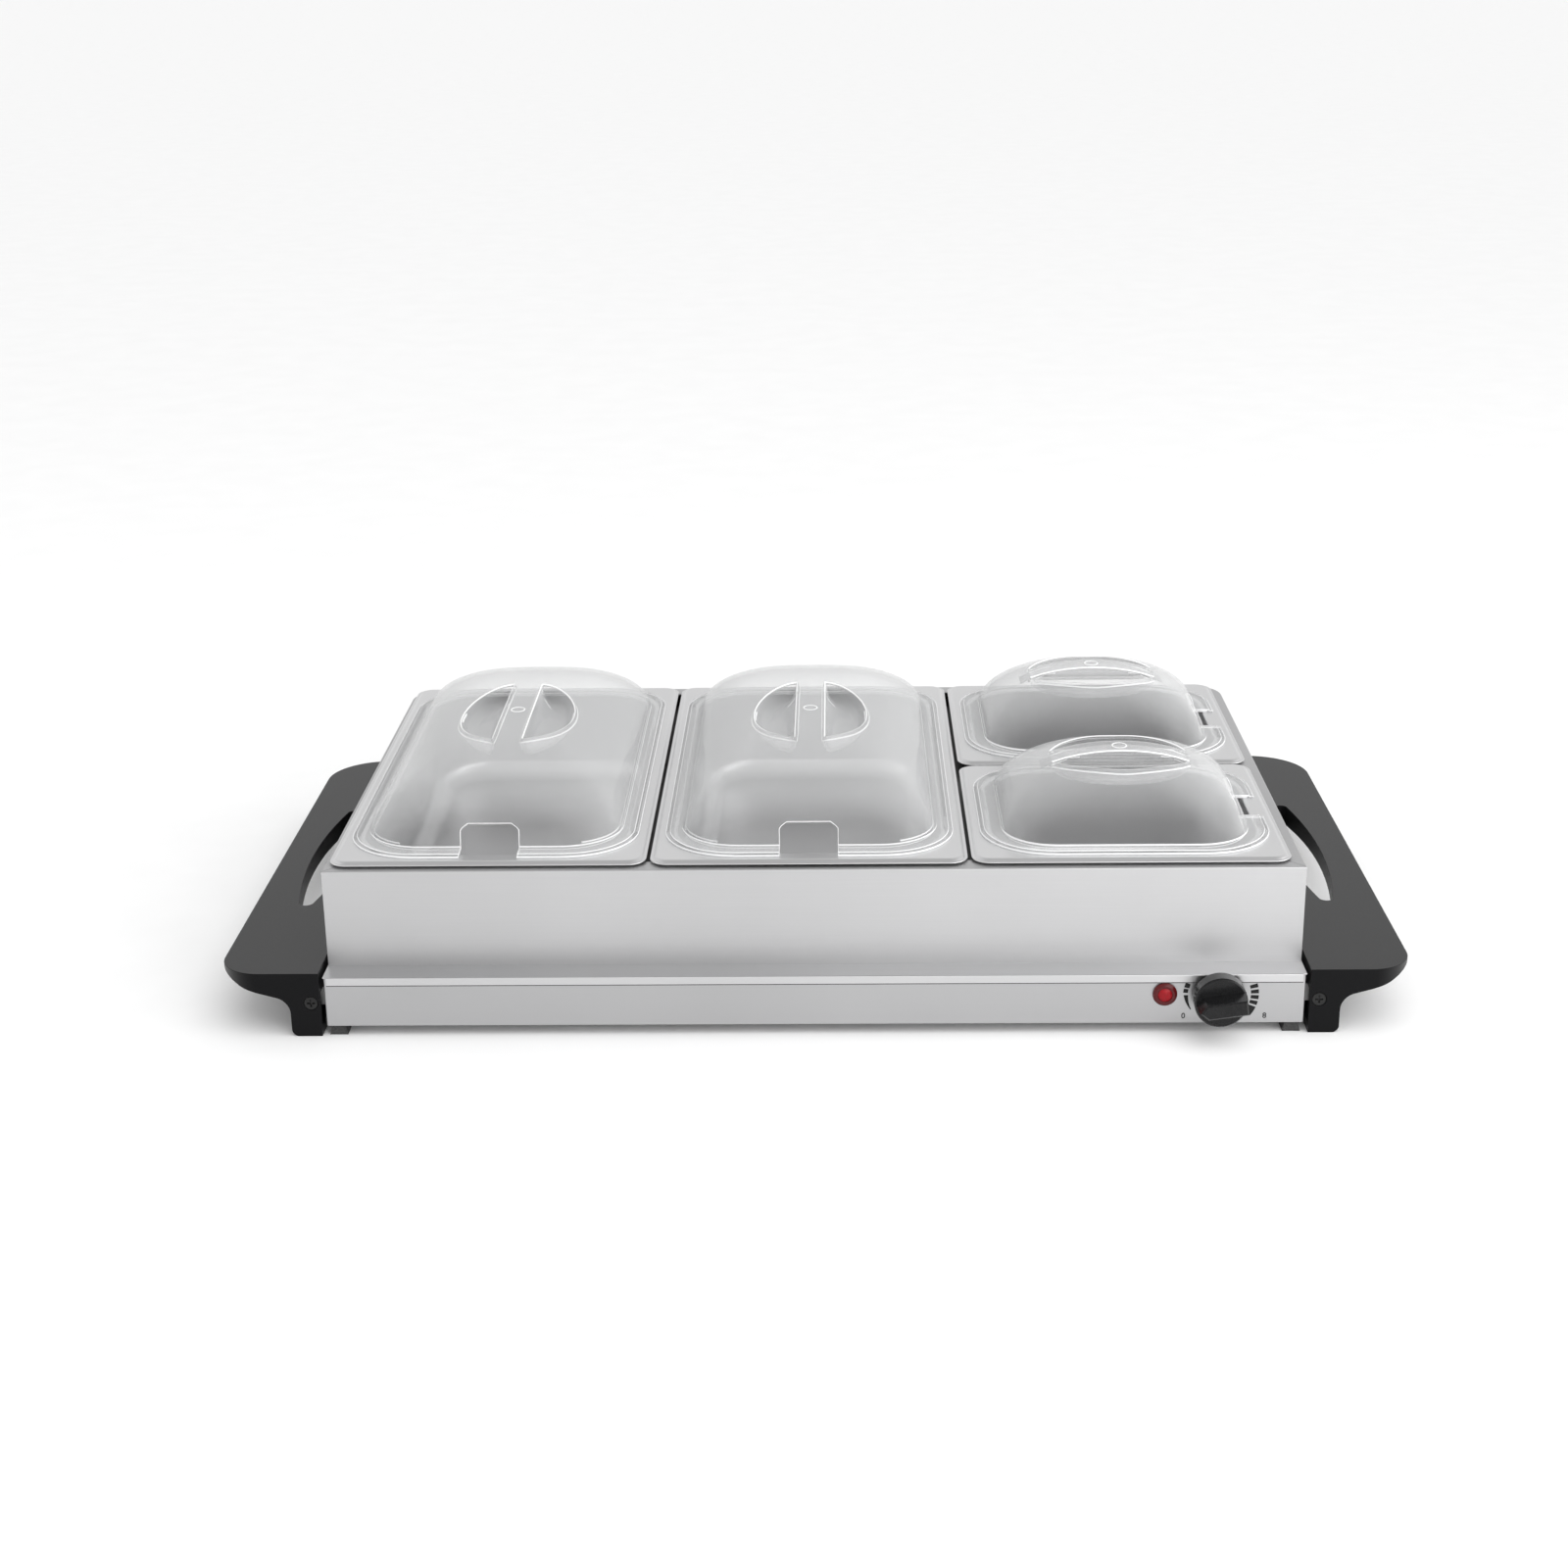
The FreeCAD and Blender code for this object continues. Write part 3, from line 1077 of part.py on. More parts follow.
def leads():
    """Make the internal leads round the tray and along the housing floor."""
    low = "foot_height + sheet_steel + lead_diameter / 2 + 0.4"
    front_face = "block_middle - block_depth / 2 - 0.05"
    way = "block_length / 4"
    block_z = "foot_height + sheet_steel + block_height / 2"
    stat_rear = "inside_front + thermostat_depth"
    stat_tab = "thermostat_width / 2 + 3.5"
    side = "shield_width / 2 + 4"
    far_side = "shield_width / 2 + 8.6"
    edge = "shield_width / 2 + 12.5"
    first = run_line(0)
    last = run_line(int(round(value("tube_runs"))) - 1)
    tab_under = "tube_z - 1.25"
    fuse_x = "shield_width / 2 + shield_flange + fuse_diameter / 2 + 0.6"
    fuse_z = "plate_under - fuse_diameter / 2 - touch_gap"
    fuse_end = "fuse_length / 2 + 0.05"
    lead("live_lead", [
        (f"block_x - {way}", front_face, block_z), (f"block_x - {way}", f"{front_face} - 10", block_z),
        (f"block_x - {way} + 6", f"{front_face} - 23", low), (side, f"{front_face} - 23", low),
        (side, f"{stat_rear} + 14", low), ("knob_x", f"{stat_rear} + 14", low),
        ("knob_x", f"{stat_rear} + 8", "control_z - 4"), ("knob_x", f"{stat_rear} + 0.05", "control_z - 4"),
    ])
    lead("switched_lead", [
        (f"knob_x + {stat_tab}", f"{stat_rear} - 4.15", "control_z"),
        (f"knob_x + {stat_tab}", f"{stat_rear} + 7", "control_z"),
        (far_side, f"{stat_rear} + 14", "control_z - 4"), (far_side, first, "control_z - 4"),
        (far_side, first, tab_under),
    ])
    lead("fuse_lead", [
        (far_side, last, tab_under), (far_side, last, "control_z - 2"),
        (fuse_x, "frame_middle + 32", "control_z - 2"), (fuse_x, "frame_middle + 21", fuse_z),
        (fuse_x, f"frame_middle + {fuse_end}", fuse_z),
    ])
    lead("neutral_lead", [
        (fuse_x, f"frame_middle - ({fuse_end})", fuse_z), (fuse_x, "frame_middle - 18", fuse_z),
        (edge, "frame_middle - 18", "control_z - 9.4"), (edge, f"{front_face} - 14", "control_z - 9.4"),
        (f"block_x + {way}", f"{front_face} - 14", "control_z - 9.4"),
        (f"block_x + {way}", front_face, "control_z - 9.4"),
    ])
    lead("lamp_lead", [
        ("lamp_x", "housing_front + bulb_length + 3.75", "control_z + 1.4"),
        ("lamp_x", f"{stat_rear} + 6", "control_z + 1.4"),
        (f"knob_x - ({stat_tab})", f"{stat_rear} + 6", "control_z + 1.4"),
        (f"knob_x - ({stat_tab})", f"{stat_rear} - 4.15", "control_z + 1.4"),
    ])
    lead("lamp_neutral_lead", [
        ("lamp_x", "housing_front + bulb_length + 3.75", "control_z - 1.4"),
        ("lamp_x", f"{stat_rear} + 4", "control_z - 1.4"),
        ("lamp_x - 8", f"{stat_rear} + 12", f"{low} + 2.8"),
        ("lamp_x - 8", f"{front_face} - 24", f"{low} + 2.8"),
        ("block_x", f"{front_face} - 24", f"{low} + 2.8"),
        ("block_x", front_face, f"{low} + 2.8"),
    ])
    lead("earth_lead", [
        ("block_x - block_length / 2 - 0.05", "block_middle", block_z),
        ("block_x - block_length / 2 - 9", "block_middle", block_z),
        ("block_x - block_length", "block_middle + 8", "foot_height + sheet_steel + 8.4"),
        ("block_x - block_length", "block_middle + 8", "foot_height + sheet_steel + 3.45"),
    ])


# ---------------------------------------------------------------------------------------------
# Pan frame: a folded front panel mitred into a wrap, with channels between the pans
# ---------------------------------------------------------------------------------------------
def frame_blank():
    """Make the whole frame in one piece: walls, top flange and an upturned inner edge, notched at the channels."""
    owner = body("frame_whole")
    block = pad(owner, rectangle(sketch(owner, "frame_walls", level="plate_top"),
                                 centred("frame_half"), ("frame_front", "frame_rear")), "frame_height")
    rear = fillet(owner, block, along("z", at("y", "frame_rear")), "frame_corner")
    fillet(owner, rear, at("z", "frame_top"), "frame_sheet")
    west, east = centred("frame_half - frame_sheet")
    south, north = "frame_front + frame_sheet", "frame_rear - frame_sheet"
    bend = "(frame_corner - frame_sheet)"
    inside = outline(sketch(owner, "frame_inside", level="plate_top"), [
        (west, south), (east, south), (east, f"{north} - {bend}", bend), (f"{east} - {bend}", north),
        (f"{west} + {bend}", north, bend), (west, f"{north} - {bend}"),
    ])
    pocket(owner, inside, "frame_height - frame_sheet", up=True)
    opening = rounded(sketch(owner, "frame_opening", level="frame_top"), centred("opening_half"),
                      centred("opening_half_depth", "frame_middle"), "4")
    pocket(owner, opening, "2 * frame_sheet")
    seat = sketch(owner, "frame_seat_ring", level="frame_top")
    rounded(seat, centred("opening_half"), centred("opening_half_depth", "frame_middle"), "4")
    rounded(seat, centred("opening_half + frame_sheet"),
            centred("opening_half_depth + frame_sheet", "frame_middle"), "4.8")
    pad(owner, seat, "frame_seat")
    notches = sketch(owner, "frame_seat_notches", level="seat_top")
    half = "divider_width / 2 + seat_play"
    for gap in ("pan_shift - pan_pitch / 2", "pan_shift + pan_pitch / 2"):
        for edge in ("frame_middle - opening_half_depth", "frame_middle + opening_half_depth"):
            rectangle(notches, centred(half, gap), centred("2 * frame_sheet", edge))
    rectangle(notches, centred("2 * frame_sheet", "opening_half"), centred(half, "frame_middle"))
    pocket(owner, notches, "frame_seat")
    return owner


def mitre_tool(name, shift):
    """Make a block over the front of the frame with 45 degree ends, moved back by a shift."""
    owner = body(name)
    reach = "(frame_flange + 4)"
    drawing = outline(sketch(owner, name + "_plan", level="plate_top - 1"), [
        ("-frame_half - 1", f"frame_front - 1 + {shift}"), ("frame_half + 1", f"frame_front - 1 + {shift}"),
        (f"frame_half - {reach}", f"frame_front + {reach} + {shift}"),
        (f"-frame_half + {reach}", f"frame_front + {reach} + {shift}"),
    ])
    pad(owner, drawing, "frame_height + frame_seat + 2")
    return owner


def pan_frame():
    """Make the front panel, the wrap with its two welding tabs, and the three channels."""
    blank = frame_blank()
    part("frame_front", common("frame_front_panel", blank, mitre_tool("front_mitre", "0")))
    wrap = cut("frame_wrap_sheet", blank, mitre_tool("wrap_mitre", "frame_seam * sqrt(2)"))
    tabs = []
    for side, span in (("left", ("-frame_half + frame_sheet", "-frame_half + frame_sheet + 12")),
                       ("right", ("frame_half - frame_sheet - 12", "frame_half - frame_sheet"))):
        tabs.append(box(f"frame_tab_{side}", span, ("frame_front + frame_sheet", "frame_front + 2 * frame_sheet"),
                        ("plate_top + 4", "frame_top - 6")))
    part("frame_wrap", fuse("frame_wrap_solid", wrap, *tabs))
    for side, gap in (("left", "pan_shift - pan_pitch / 2"), ("right", "pan_shift + pan_pitch / 2")):
        across = centred("divider_width / 2", gap)
        below = centred("frame_depth / 2 - frame_sheet - divider_play", "frame_middle")
        above = centred("opening_half_depth - divider_play", "frame_middle")
        hollow = centred("divider_width / 2 - frame_sheet", gap)
        notch = box(f"{side}_divider_notch", (gap, f"{gap} + divider_width"),
                    centred("divider_width / 2 + seat_play", "frame_middle"),
                    ("rim_top - rim_drop - seat_play", "rim_top"))
        channel(f"{side}_divider", across, below, across, above, hollow,
                centred("frame_depth", "frame_middle"), *([notch] if side == "right" else []))
    start = "pan_shift + pan_pitch / 2 + divider_width / 2"
    deep = centred("divider_width / 2", "frame_middle")
    channel("small_pan_support", (start, "frame_half - frame_sheet - divider_play"), deep,
            (start, "opening_half - support_play"), deep, (f"{start} - 1", "frame_half"),
            centred("divider_width / 2 - frame_sheet", "frame_middle"))


def channel(label, low_x, low_y, high_x, high_y, hollow_x, hollow_y, *notches):
    """Make one channel, open above, whose ends are tucked under the top flange."""
    foot = "frame_top - frame_sheet - divider_drop"
    low = box(label + "_low", low_x, low_y, (foot, "frame_top - frame_sheet"))
    high = box(label + "_high", high_x, high_y, ("frame_top - 2 * frame_sheet", "seat_top"))
    hollow = box(label + "_hollow", hollow_x, hollow_y, (f"{foot} + frame_sheet", "seat_top + 1"))
    part(label, cut(label + "_channel", fuse(label + "_solid", low, high), hollow, *notches))


# ---------------------------------------------------------------------------------------------
# Pans
# ---------------------------------------------------------------------------------------------
def inside_of(half_x, half_y):
    """Return a test for edges that stay within a rectangle about the origin."""
    limit_x, limit_y = value(half_x), value(half_y)

    def wanted(edge):
        reach = edge.BoundBox
        return max(abs(reach.XMin), abs(reach.XMax)) < limit_x and max(abs(reach.YMin), abs(reach.YMax)) < limit_y
    return wanted


def both(*tests):
    """Return a test that asks for all of the tests."""
    return lambda edge: all(test(edge) for test in tests)


def tub(owner, name, level, half_x, half_y, growth):
    """Pad a drafted tub down from a level, rounded at its floor and bevelled at its mouth."""
    drawing = rounded(sketch(owner, name, level=level), centred(f"{half_x} + {growth}"),
                      centred(f"{half_y} + {growth}"), f"pan_corner + {growth}")
    depth = f"{level} - pan_depth + pan_sheet"
    walls = draft(owner, pad(owner, drawing, "pan_depth - pan_sheet", down=True), depth, level, "pan_draft")
    floor = fillet(owner, walls, at("z", depth), f"floor_radius + {growth}")
    mouth = both(at("z", level), inside_of(f"{half_x} + 2", f"{half_y} + 2"))
    return chamfer(owner, floor, mouth, f"rim_bevel - {growth} * 0.6")


def pan(label, x, y, width, length):
    """Make a drawn pan with its rim, about its own origin at the middle of the rim."""
    owner = body(label + "_body")
    half_x, half_y = f"({width}) / 2", f"({length}) / 2"
    bead = rounded(sketch(owner, label + "_bead", level="-rim_drop"),
                   centred(f"{half_x} - rim_lip"), centred(f"{half_y} - rim_lip"), "rim_corner - rim_lip")
    block = pad(owner, bead, "rim_drop")
    bevel(owner, block, at("z", "0"), "rim_slope", "rim_drop - pan_sheet")
    lip = rounded(sketch(owner, label + "_lip", level="-rim_drop"), centred(half_x), centred(half_y), "rim_corner")
    pad(owner, lip, "pan_sheet")
    under = rounded(sketch(owner, label + "_under", level="-rim_drop"),
                    centred(f"{half_x} - rim_bead"), centred(f"{half_y} - rim_bead"), "rim_corner - rim_bead")
    pocket(owner, under, "rim_drop - pan_sheet", up=True)
    open_x, open_y = f"{half_x} - rim_width", f"{half_y} - rim_width"
    tub(owner, label + "_outside", "-pan_sheet", open_x, open_y, "pan_sheet")
    hollow = body(label + "_hollow")
    mouth = rounded(sketch(hollow, label + "_mouth"), centred(f"{open_x} + 3"), centred(f"{open_y} + 3"),
                    "pan_corner + 3")
    pad(hollow, mouth, "1")
    tub(hollow, label + "_inside", "0", open_x, open_y, "0")
    whole = cut(label + "_drawn", owner, hollow)
    return part(label, place(whole, x, y, "rim_top"))


# ---------------------------------------------------------------------------------------------
# Lids
# ---------------------------------------------------------------------------------------------
def dome(name, half_x, half_y, height, fullness):
    """Loft a dome: an ellipse across, a fuller curve along, on rounded rectangles."""
    sections = []
    for number, level in enumerate(("0", "0.3", "0.55", "0.75", "0.88", "0.95", "0.985")):
        across = f"({half_x}) * sqrt(1 - {level}^2)"
        lengthwise = f"({half_y}) * (1 - {level}^{fullness})^(1 / {fullness})"
        drawing = sketch(None, f"{name}_{number}", level=f"{level} * ({height})")
        sections.append(rounded(drawing, centred(across), centred(lengthwise), f"(dome_corner * {across})"))
    loft = doc.addObject("Part::Loft", name)
    loft.Sections = sections
    loft.Solid = True
    return loft


def oval(drawing, half_x, half_y, tip):
    """Draw an oval of four tangent arcs from its half sizes and the radius of its ends."""
    side = f"((({half_y}) - ({tip}))^2 + ({half_x})^2 - ({tip})^2) / (2 * (({half_x}) - ({tip})))"
    join_x = f"({half_x}) - ({side}) + ({side}) * (({side}) - ({half_x})) / (({side}) - ({tip}))"
    join_y = f"({side}) * (({half_y}) - ({tip})) / (({side}) - ({tip}))"
    return outline(drawing, [
        (join_x, f"-({join_y})", side), (join_x, join_y, tip),
        (f"-({join_x})", join_y, side), (f"-({join_x})", f"-({join_y})", tip),
    ])


def well_tool(name, half_x, half_y, growth):
    """Make the oval bowl of a finger well, grown by a wall thickness."""
    owner = body(name)
    drawing = oval(sketch(owner, name + "_oval", level="lid_height + 3"),
                   f"{half_x} + {growth}", f"{half_y} + {growth}", f"{half_x} * well_tip + {growth}")
    floor = f"lid_height - well_depth - {growth}"
    block = pad(owner, drawing, f"well_depth + 3 + {growth}", down=True)
    bowl = draft(owner, block, floor, "lid_height + 3", "well_draft")
    fillet(owner, bowl, at("z", floor), f"well_scoop + {growth}")
    return owner


def bar_tool(name, half, reach):
    """Make the drafted bar that crosses a finger well, at its full height."""
    owner = body(name)
    top, low = "lid_height + 4", "lid_height - well_depth - 6"
    spread = f"({half}) + (well_depth + 6) * tan(well_draft)"
    narrow = f"({half}) - 4 * tan(well_draft)"
    drawing = outline(sketch(owner, name + "_section", "XZ"), [
        (f"-({spread})", low), (spread, low), (narrow, top), (f"-({narrow})", top),
    ])
    pad(owner, drawing, f"2 * ({reach})", both_ways=True)
    return owner


def lid(label, x, y, across, lengthwise, end_flange, fullness, well, turn):
    """Make a moulded lid about its own origin: bar along Y, ladle notch at -Y."""
    half_x, half_y = f"({across}) / 2", f"({lengthwise}) / 2"
    foot_x, foot_y = f"{half_x} - lid_flange", f"{half_y} - {end_flange}"
    outer = dome(label + "_dome", foot_x, foot_y, "lid_height", fullness)
    inner = dome(label + "_hollow", f"{foot_x} - lid_wall", f"{foot_y} - lid_wall", "lid_height - lid_wall", fullness)

    plate = body(label + "_flange")
    pad(plate, rounded(sketch(plate, label + "_edge"), centred(half_x), centred(half_y), "lid_corner"),
        "lid_wall - lid_step")
    pad(plate, rounded(sketch(plate, label + "_step", level="lid_wall - lid_step"),
                       centred(f"{half_x} - lid_step_in"), centred(f"{half_y} - lid_step_in"),
                       "lid_corner - lid_step_in"), "lid_step")
    rib = sketch(plate, label + "_rib")
    play = "rim_width - lid_margin + rib_play"
    rounded(rib, centred(f"{half_x} - ({play})"), centred(f"{half_y} - ({play})"), "pan_corner - rib_play")
    rounded(rib, centred(f"{half_x} - ({play}) - lid_wall"), centred(f"{half_y} - ({play}) - lid_wall"),
            "pan_corner - rib_play - lid_wall")
    pad(plate, rib, "rib_height", down=True)

    well_x, well_y = f"({well[0]}) / 2", f"({well[1]}) / 2"
    shell = well_tool(label + "_well_shell", well_x, well_y, "lid_wall")
    core = well_tool(label + "_well_core", well_x, well_y, "0")
    bar = bar_tool(label + "_bar", "bar_width / 2", f"{well_y} + 10")
    bar_core = bar_tool(label + "_bar_core", "bar_width / 2 - lid_wall", f"{well_y} + 12")
    notch = body(label + "_notch")
    arch = sketch(notch, label + "_arch", "XZ", f"{half_y} + 1")
    west, east, top = "-notch_width / 2", "notch_width / 2", "lid_wall + notch_rise"
    outline(arch, [
        (west, "-rib_height - 1"), (east, "-rib_height - 1"), (east, f"{top} - notch_radius", "notch_radius"),
        (f"{east} - notch_radius", top), (f"{west} + notch_radius", top, "notch_radius"),
        (west, f"{top} - notch_radius"),
    ])
    pad(notch, arch, "notch_reach + 1", down=True)

    solid = fuse(label + "_solid", outer, plate)
    hollow = cut(label + "_inside", inner, cut(label + "_well_wall", shell, bar_core))
    wells = cut(label + "_wells", core, bar)
    whole = cut(label + "_moulding", solid, hollow, wells, notch)
    whole.Placement.Rotation = FreeCAD.Rotation(FreeCAD.Vector(0, 0, 1), turn)
    return part(label, place(whole, x, y, "rim_top"))


def pans_and_lids():
    """Place two long pans and two small ones, each with its lid."""
    right = "pan_shift + pan_pitch"
    spots = [
        ("left", "pan_shift - pan_pitch", "frame_middle", "pan_length"),
        ("middle", "pan_shift", "frame_middle", "pan_length"),
        ("front", right, "frame_middle - small_shift", "small_length"),
        ("rear", right, "frame_middle + small_shift", "small_length"),
    ]
    for name, x, y, length in spots:
        pan(f"{name}_pan", x, y, "pan_width", length)
        if length == "pan_length":
            lid(f"{name}_lid", x, y, "lid_width", "pan_length - 2 * lid_margin", "lid_end_flange",
                "lid_round", ("well_width", "well_length"), 0)
        else:
            lid(f"{name}_lid", x, y, "small_length - 2 * lid_margin", "lid_width", "lid_end_flange",
                "small_lid_round", ("small_well_width", "small_well_length"), 90)


base_housing()
hot_plate()
bottom_cover()
cover_screws()
rubber_feet()
handles()
handle_brackets()
handle_screws()
heating_element()
element_terminals()
element_clamps()
heat_shield()
insulation_mat()
thermostat()
thermostat_nut()
thermostat_shaft()
knob()
lamp()
cord_gland()
terminal_block()
earth_screw()
thermal_fuse()
leads()
pan_frame()
pans_and_lids()


# ---------------------------------------------------------------------------------------------
# Checks and export
# ---------------------------------------------------------------------------------------------
doc.recompute()
for thing in doc.Objects:
    if "Invalid" in thing.State or "Error" in thing.State:
        raise RuntimeError(f"{thing.Label} failed: {thing.State}")
os.makedirs("parts", exist_ok=True)
for thing in PARTS:
    if thing.Shape.isNull() or not thing.Shape.isValid() or not thing.Shape.Solids:
        raise RuntimeError(f"{thing.Label} has no valid solid")
    thing.Shape.exportStep(f"parts/{thing.Label}.step")
    print(f"{thing.Label}: {len(thing.Shape.Solids)} solids, {thing.Shape.Volume:.0f} mm3")
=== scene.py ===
import math

import bmesh
import bpy
from mathutils import Matrix, Vector


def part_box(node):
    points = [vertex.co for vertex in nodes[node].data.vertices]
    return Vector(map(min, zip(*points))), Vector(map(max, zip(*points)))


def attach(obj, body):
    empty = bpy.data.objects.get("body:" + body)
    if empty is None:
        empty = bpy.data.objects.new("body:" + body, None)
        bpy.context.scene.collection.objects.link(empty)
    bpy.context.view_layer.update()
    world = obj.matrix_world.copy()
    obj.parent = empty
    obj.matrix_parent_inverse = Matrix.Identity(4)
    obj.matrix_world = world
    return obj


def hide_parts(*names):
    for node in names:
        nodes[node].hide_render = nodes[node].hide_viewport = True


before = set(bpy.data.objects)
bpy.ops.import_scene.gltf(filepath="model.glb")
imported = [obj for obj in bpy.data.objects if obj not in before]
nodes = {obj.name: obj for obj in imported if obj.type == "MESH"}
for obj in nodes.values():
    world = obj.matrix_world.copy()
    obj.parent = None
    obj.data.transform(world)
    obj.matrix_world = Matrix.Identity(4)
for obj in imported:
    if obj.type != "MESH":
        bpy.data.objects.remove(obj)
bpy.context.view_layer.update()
scene = bpy.context.scene

# The viewpoint: someone who stands at the table a good step in front of the warmer and looks a
# little down on it.
eye, turned_left, looking_down, tilted = (0.01458, -1.4023, 0.58606), 1.339, 19.608, -0.796
camera_data = bpy.data.cameras.new("viewpoint")
camera_data.sensor_width = 36
camera_data.lens = 56.15
camera = bpy.data.objects.new("viewpoint", camera_data)
scene.collection.objects.link(camera)
turn = (Matrix.Rotation(math.radians(turned_left), 4, "Z")
        @ Matrix.Rotation(math.radians(90 - looking_down), 4, "X")
        @ Matrix.Rotation(math.radians(tilted), 4, "Z"))
camera.matrix_world = Matrix.Translation(eye) @ turn
scene.camera = camera

# The studio: a white table in a white room, daylight from a wide window and four soft lamps, one
# at each side and two low in front.
scene.view_settings.view_transform = "Standard"


def shader(name, **settings):
    """A material with one Principled shader, whose plain settings are put on its own sockets."""
    material = bpy.data.materials.new(name)
    material.use_nodes = True
    principled = material.node_tree.nodes["Principled BSDF"]
    for socket, value in settings.items():
        principled.inputs[socket.replace("_", " ")].default_value = value
    return material, material.node_tree, principled


def wire(tree, node_type, *links, **values):
    """A node with its plain values and its incoming links, each (input, node, output)."""
    node = tree.nodes.new("ShaderNode" + node_type)
    for name, value in values.items():
        if name in node.inputs.keys():
            node.inputs[name].default_value = value
        else:
            setattr(node, name, value)
    for socket, source, output in links:
        tree.links.new(source.outputs[output], node.inputs[socket])
    return node


def pattern(tree, stretch, scale, detail=4.0, roughness=0.5):
    """Noise in millimetres on the piece's own coordinates, stretched along its axes."""
    place = wire(tree, "TexCoord")
    mapping = wire(tree, "Mapping", ("Vector", place, "Object"))
    mapping.inputs["Scale"].default_value = [1000.0 * s for s in stretch]
    return wire(tree, "TexNoise", ("Vector", mapping, "Vector"),
                Scale=scale, Detail=detail, Roughness=roughness)


def spread(tree, source, low, high, start=0.3, stop=0.7):
    """Turn a 0 to 1 pattern into values or colours between low and high."""
    if isinstance(low, (int, float)):
        return wire(tree, "MapRange", ("Value", source, 0), **{
            "From Min": start, "From Max": stop, "To Min": low, "To Max": high})
    ramp = wire(tree, "ValToRGB", ("Fac", source, 0))
    first, last = ramp.color_ramp.elements
    first.position, last.position = start, stop
    first.color, last.color = (*low, 1), (*high, 1)
    return ramp


def vary(tree, principled, socket, source, low, high):
    """Let a setting of a shader wander between two values or colours with a pattern."""
    tree.links.new(spread(tree, source, low, high).outputs[0], principled.inputs[socket])


def relief(tree, principled, source, height, strength=1.0):
    """Lift the surface by a pattern, height in metres."""
    bump = wire(tree, "Bump", ("Height", source, 0), Distance=height, Strength=strength)
    tree.links.new(bump.outputs["Normal"], principled.inputs["Normal"])


def finished(bm, name):
    """Turn a mesh that has been worked on into a named one."""
    mesh = bpy.data.meshes.new(name)
    bm.to_mesh(mesh)
    bm.free()
    return mesh


table_reach, table_tone = 60.0, ((0.86, 0.86, 0.86), (0.88, 0.88, 0.88))
bm = bmesh.new()
bmesh.ops.create_grid(bm, x_segments=1, y_segments=1, size=table_reach)
floor_mesh = finished(bm, "table")
floor = bpy.data.objects.new("table", floor_mesh)
scene.collection.objects.link(floor)
table_white, tree, principled = shader("table_white", Roughness=0.6)
vary(tree, principled, "Base Color", pattern(tree, (1, 1, 1), 0.02), *table_tone)
floor_mesh.materials.append(table_white)

# The room is brightest level with the table and darkest overhead.
room = bpy.data.worlds.new("room")
room.use_nodes = True
scene.world = room
backdrop = room.node_tree.nodes["Background"]
direction = wire(room.node_tree, "TexCoord")
split = wire(room.node_tree, "SeparateXYZ", ("Vector", direction, "Generated"))
shade = wire(room.node_tree, "ValToRGB")
room.node_tree.links.new(split.outputs["Z"], shade.inputs["Fac"])
steps = shade.color_ramp.elements
steps[0].color = (0.96, 0.96, 0.96, 1)
steps[1].color = (0.85, 0.85, 0.85, 1)
steps[1].position = 0.42
steps.new(0.8).color = (0.77, 0.77, 0.77, 1)
steps.new(1.0).color = (0.45, 0.45, 0.45, 1)
room.node_tree.links.new(shade.outputs[0], backdrop.inputs["Color"])
backdrop.inputs["Strength"].default_value = 1.0
day = bpy.data.lights.new("window_light", "SUN")
day.energy, day.angle = 1.2, math.radians(60)
window = bpy.data.objects.new("window_light", day)
scene.collection.objects.link(window)
window.rotation_euler = (math.radians(18), math.radians(14), 0)
window.visible_glossy = False

for name, spot, aim, size, power in (
        ("right_side", (2.0, -0.3, 0.9), (0.1, 0, 0.05), (1.0, 1.8), 8.5),
        ("front_low", (0.7, -2.2, 0.72), (0.15, -0.2, 0.05), (2.0, 0.6), 4.2),
        ("left_side", (-1.9, -0.2, 0.8), (-0.1, 0, 0.05), (0.5, 1.5), 3.2),
        ("low_right", (0.95, -1.0, 0.5), (0.4, -0.4, 0.0), (1.5, 0.9), 7.5)):
    lamp_data = bpy.data.lights.new(name, "AREA")
    lamp_data.shape = "RECTANGLE"
    lamp_data.size, lamp_data.size_y = size
    lamp_data.energy = power
    lamp = bpy.data.objects.new(name, lamp_data)
    scene.collection.objects.link(lamp)
    lamp.visible_camera = False
    lamp.location = spot
    lamp.rotation_euler = (Vector(aim) - Vector(spot)).to_track_quat("-Z", "Y").to_euler()


# Base: a folded box of satin stainless sheet, closed above by the hot plate, a flat sheet whose
# front and rear edges are folded down over it.
def satin_steel(name, colour, roughness, grain):
    """Rolled stainless sheet: fine scratches along one axis, and a slow cloudiness."""
    material, tree, principled = shader(name, Metallic=1.0, Anisotropic=0.35)
    scratches = pattern(tree, grain, 1.0, detail=3.0, roughness=0.65)
    clouds = pattern(tree, (1, 1, 1), 0.006, detail=2.0)
    darker, lighter = tuple(c * 0.97 for c in colour), tuple(c * 1.03 for c in colour)
    vary(tree, principled, "Base Color", clouds, darker, lighter)
    vary(tree, principled, "Roughness", scratches, roughness - 0.03, roughness + 0.04)
    relief(tree, principled, scratches, height=0.000003, strength=0.25)
    return material


def dress(node, material):
    """Give a node of the frame its finish."""
    slots = nodes[node].data.materials
    slots.clear()
    slots.append(material)


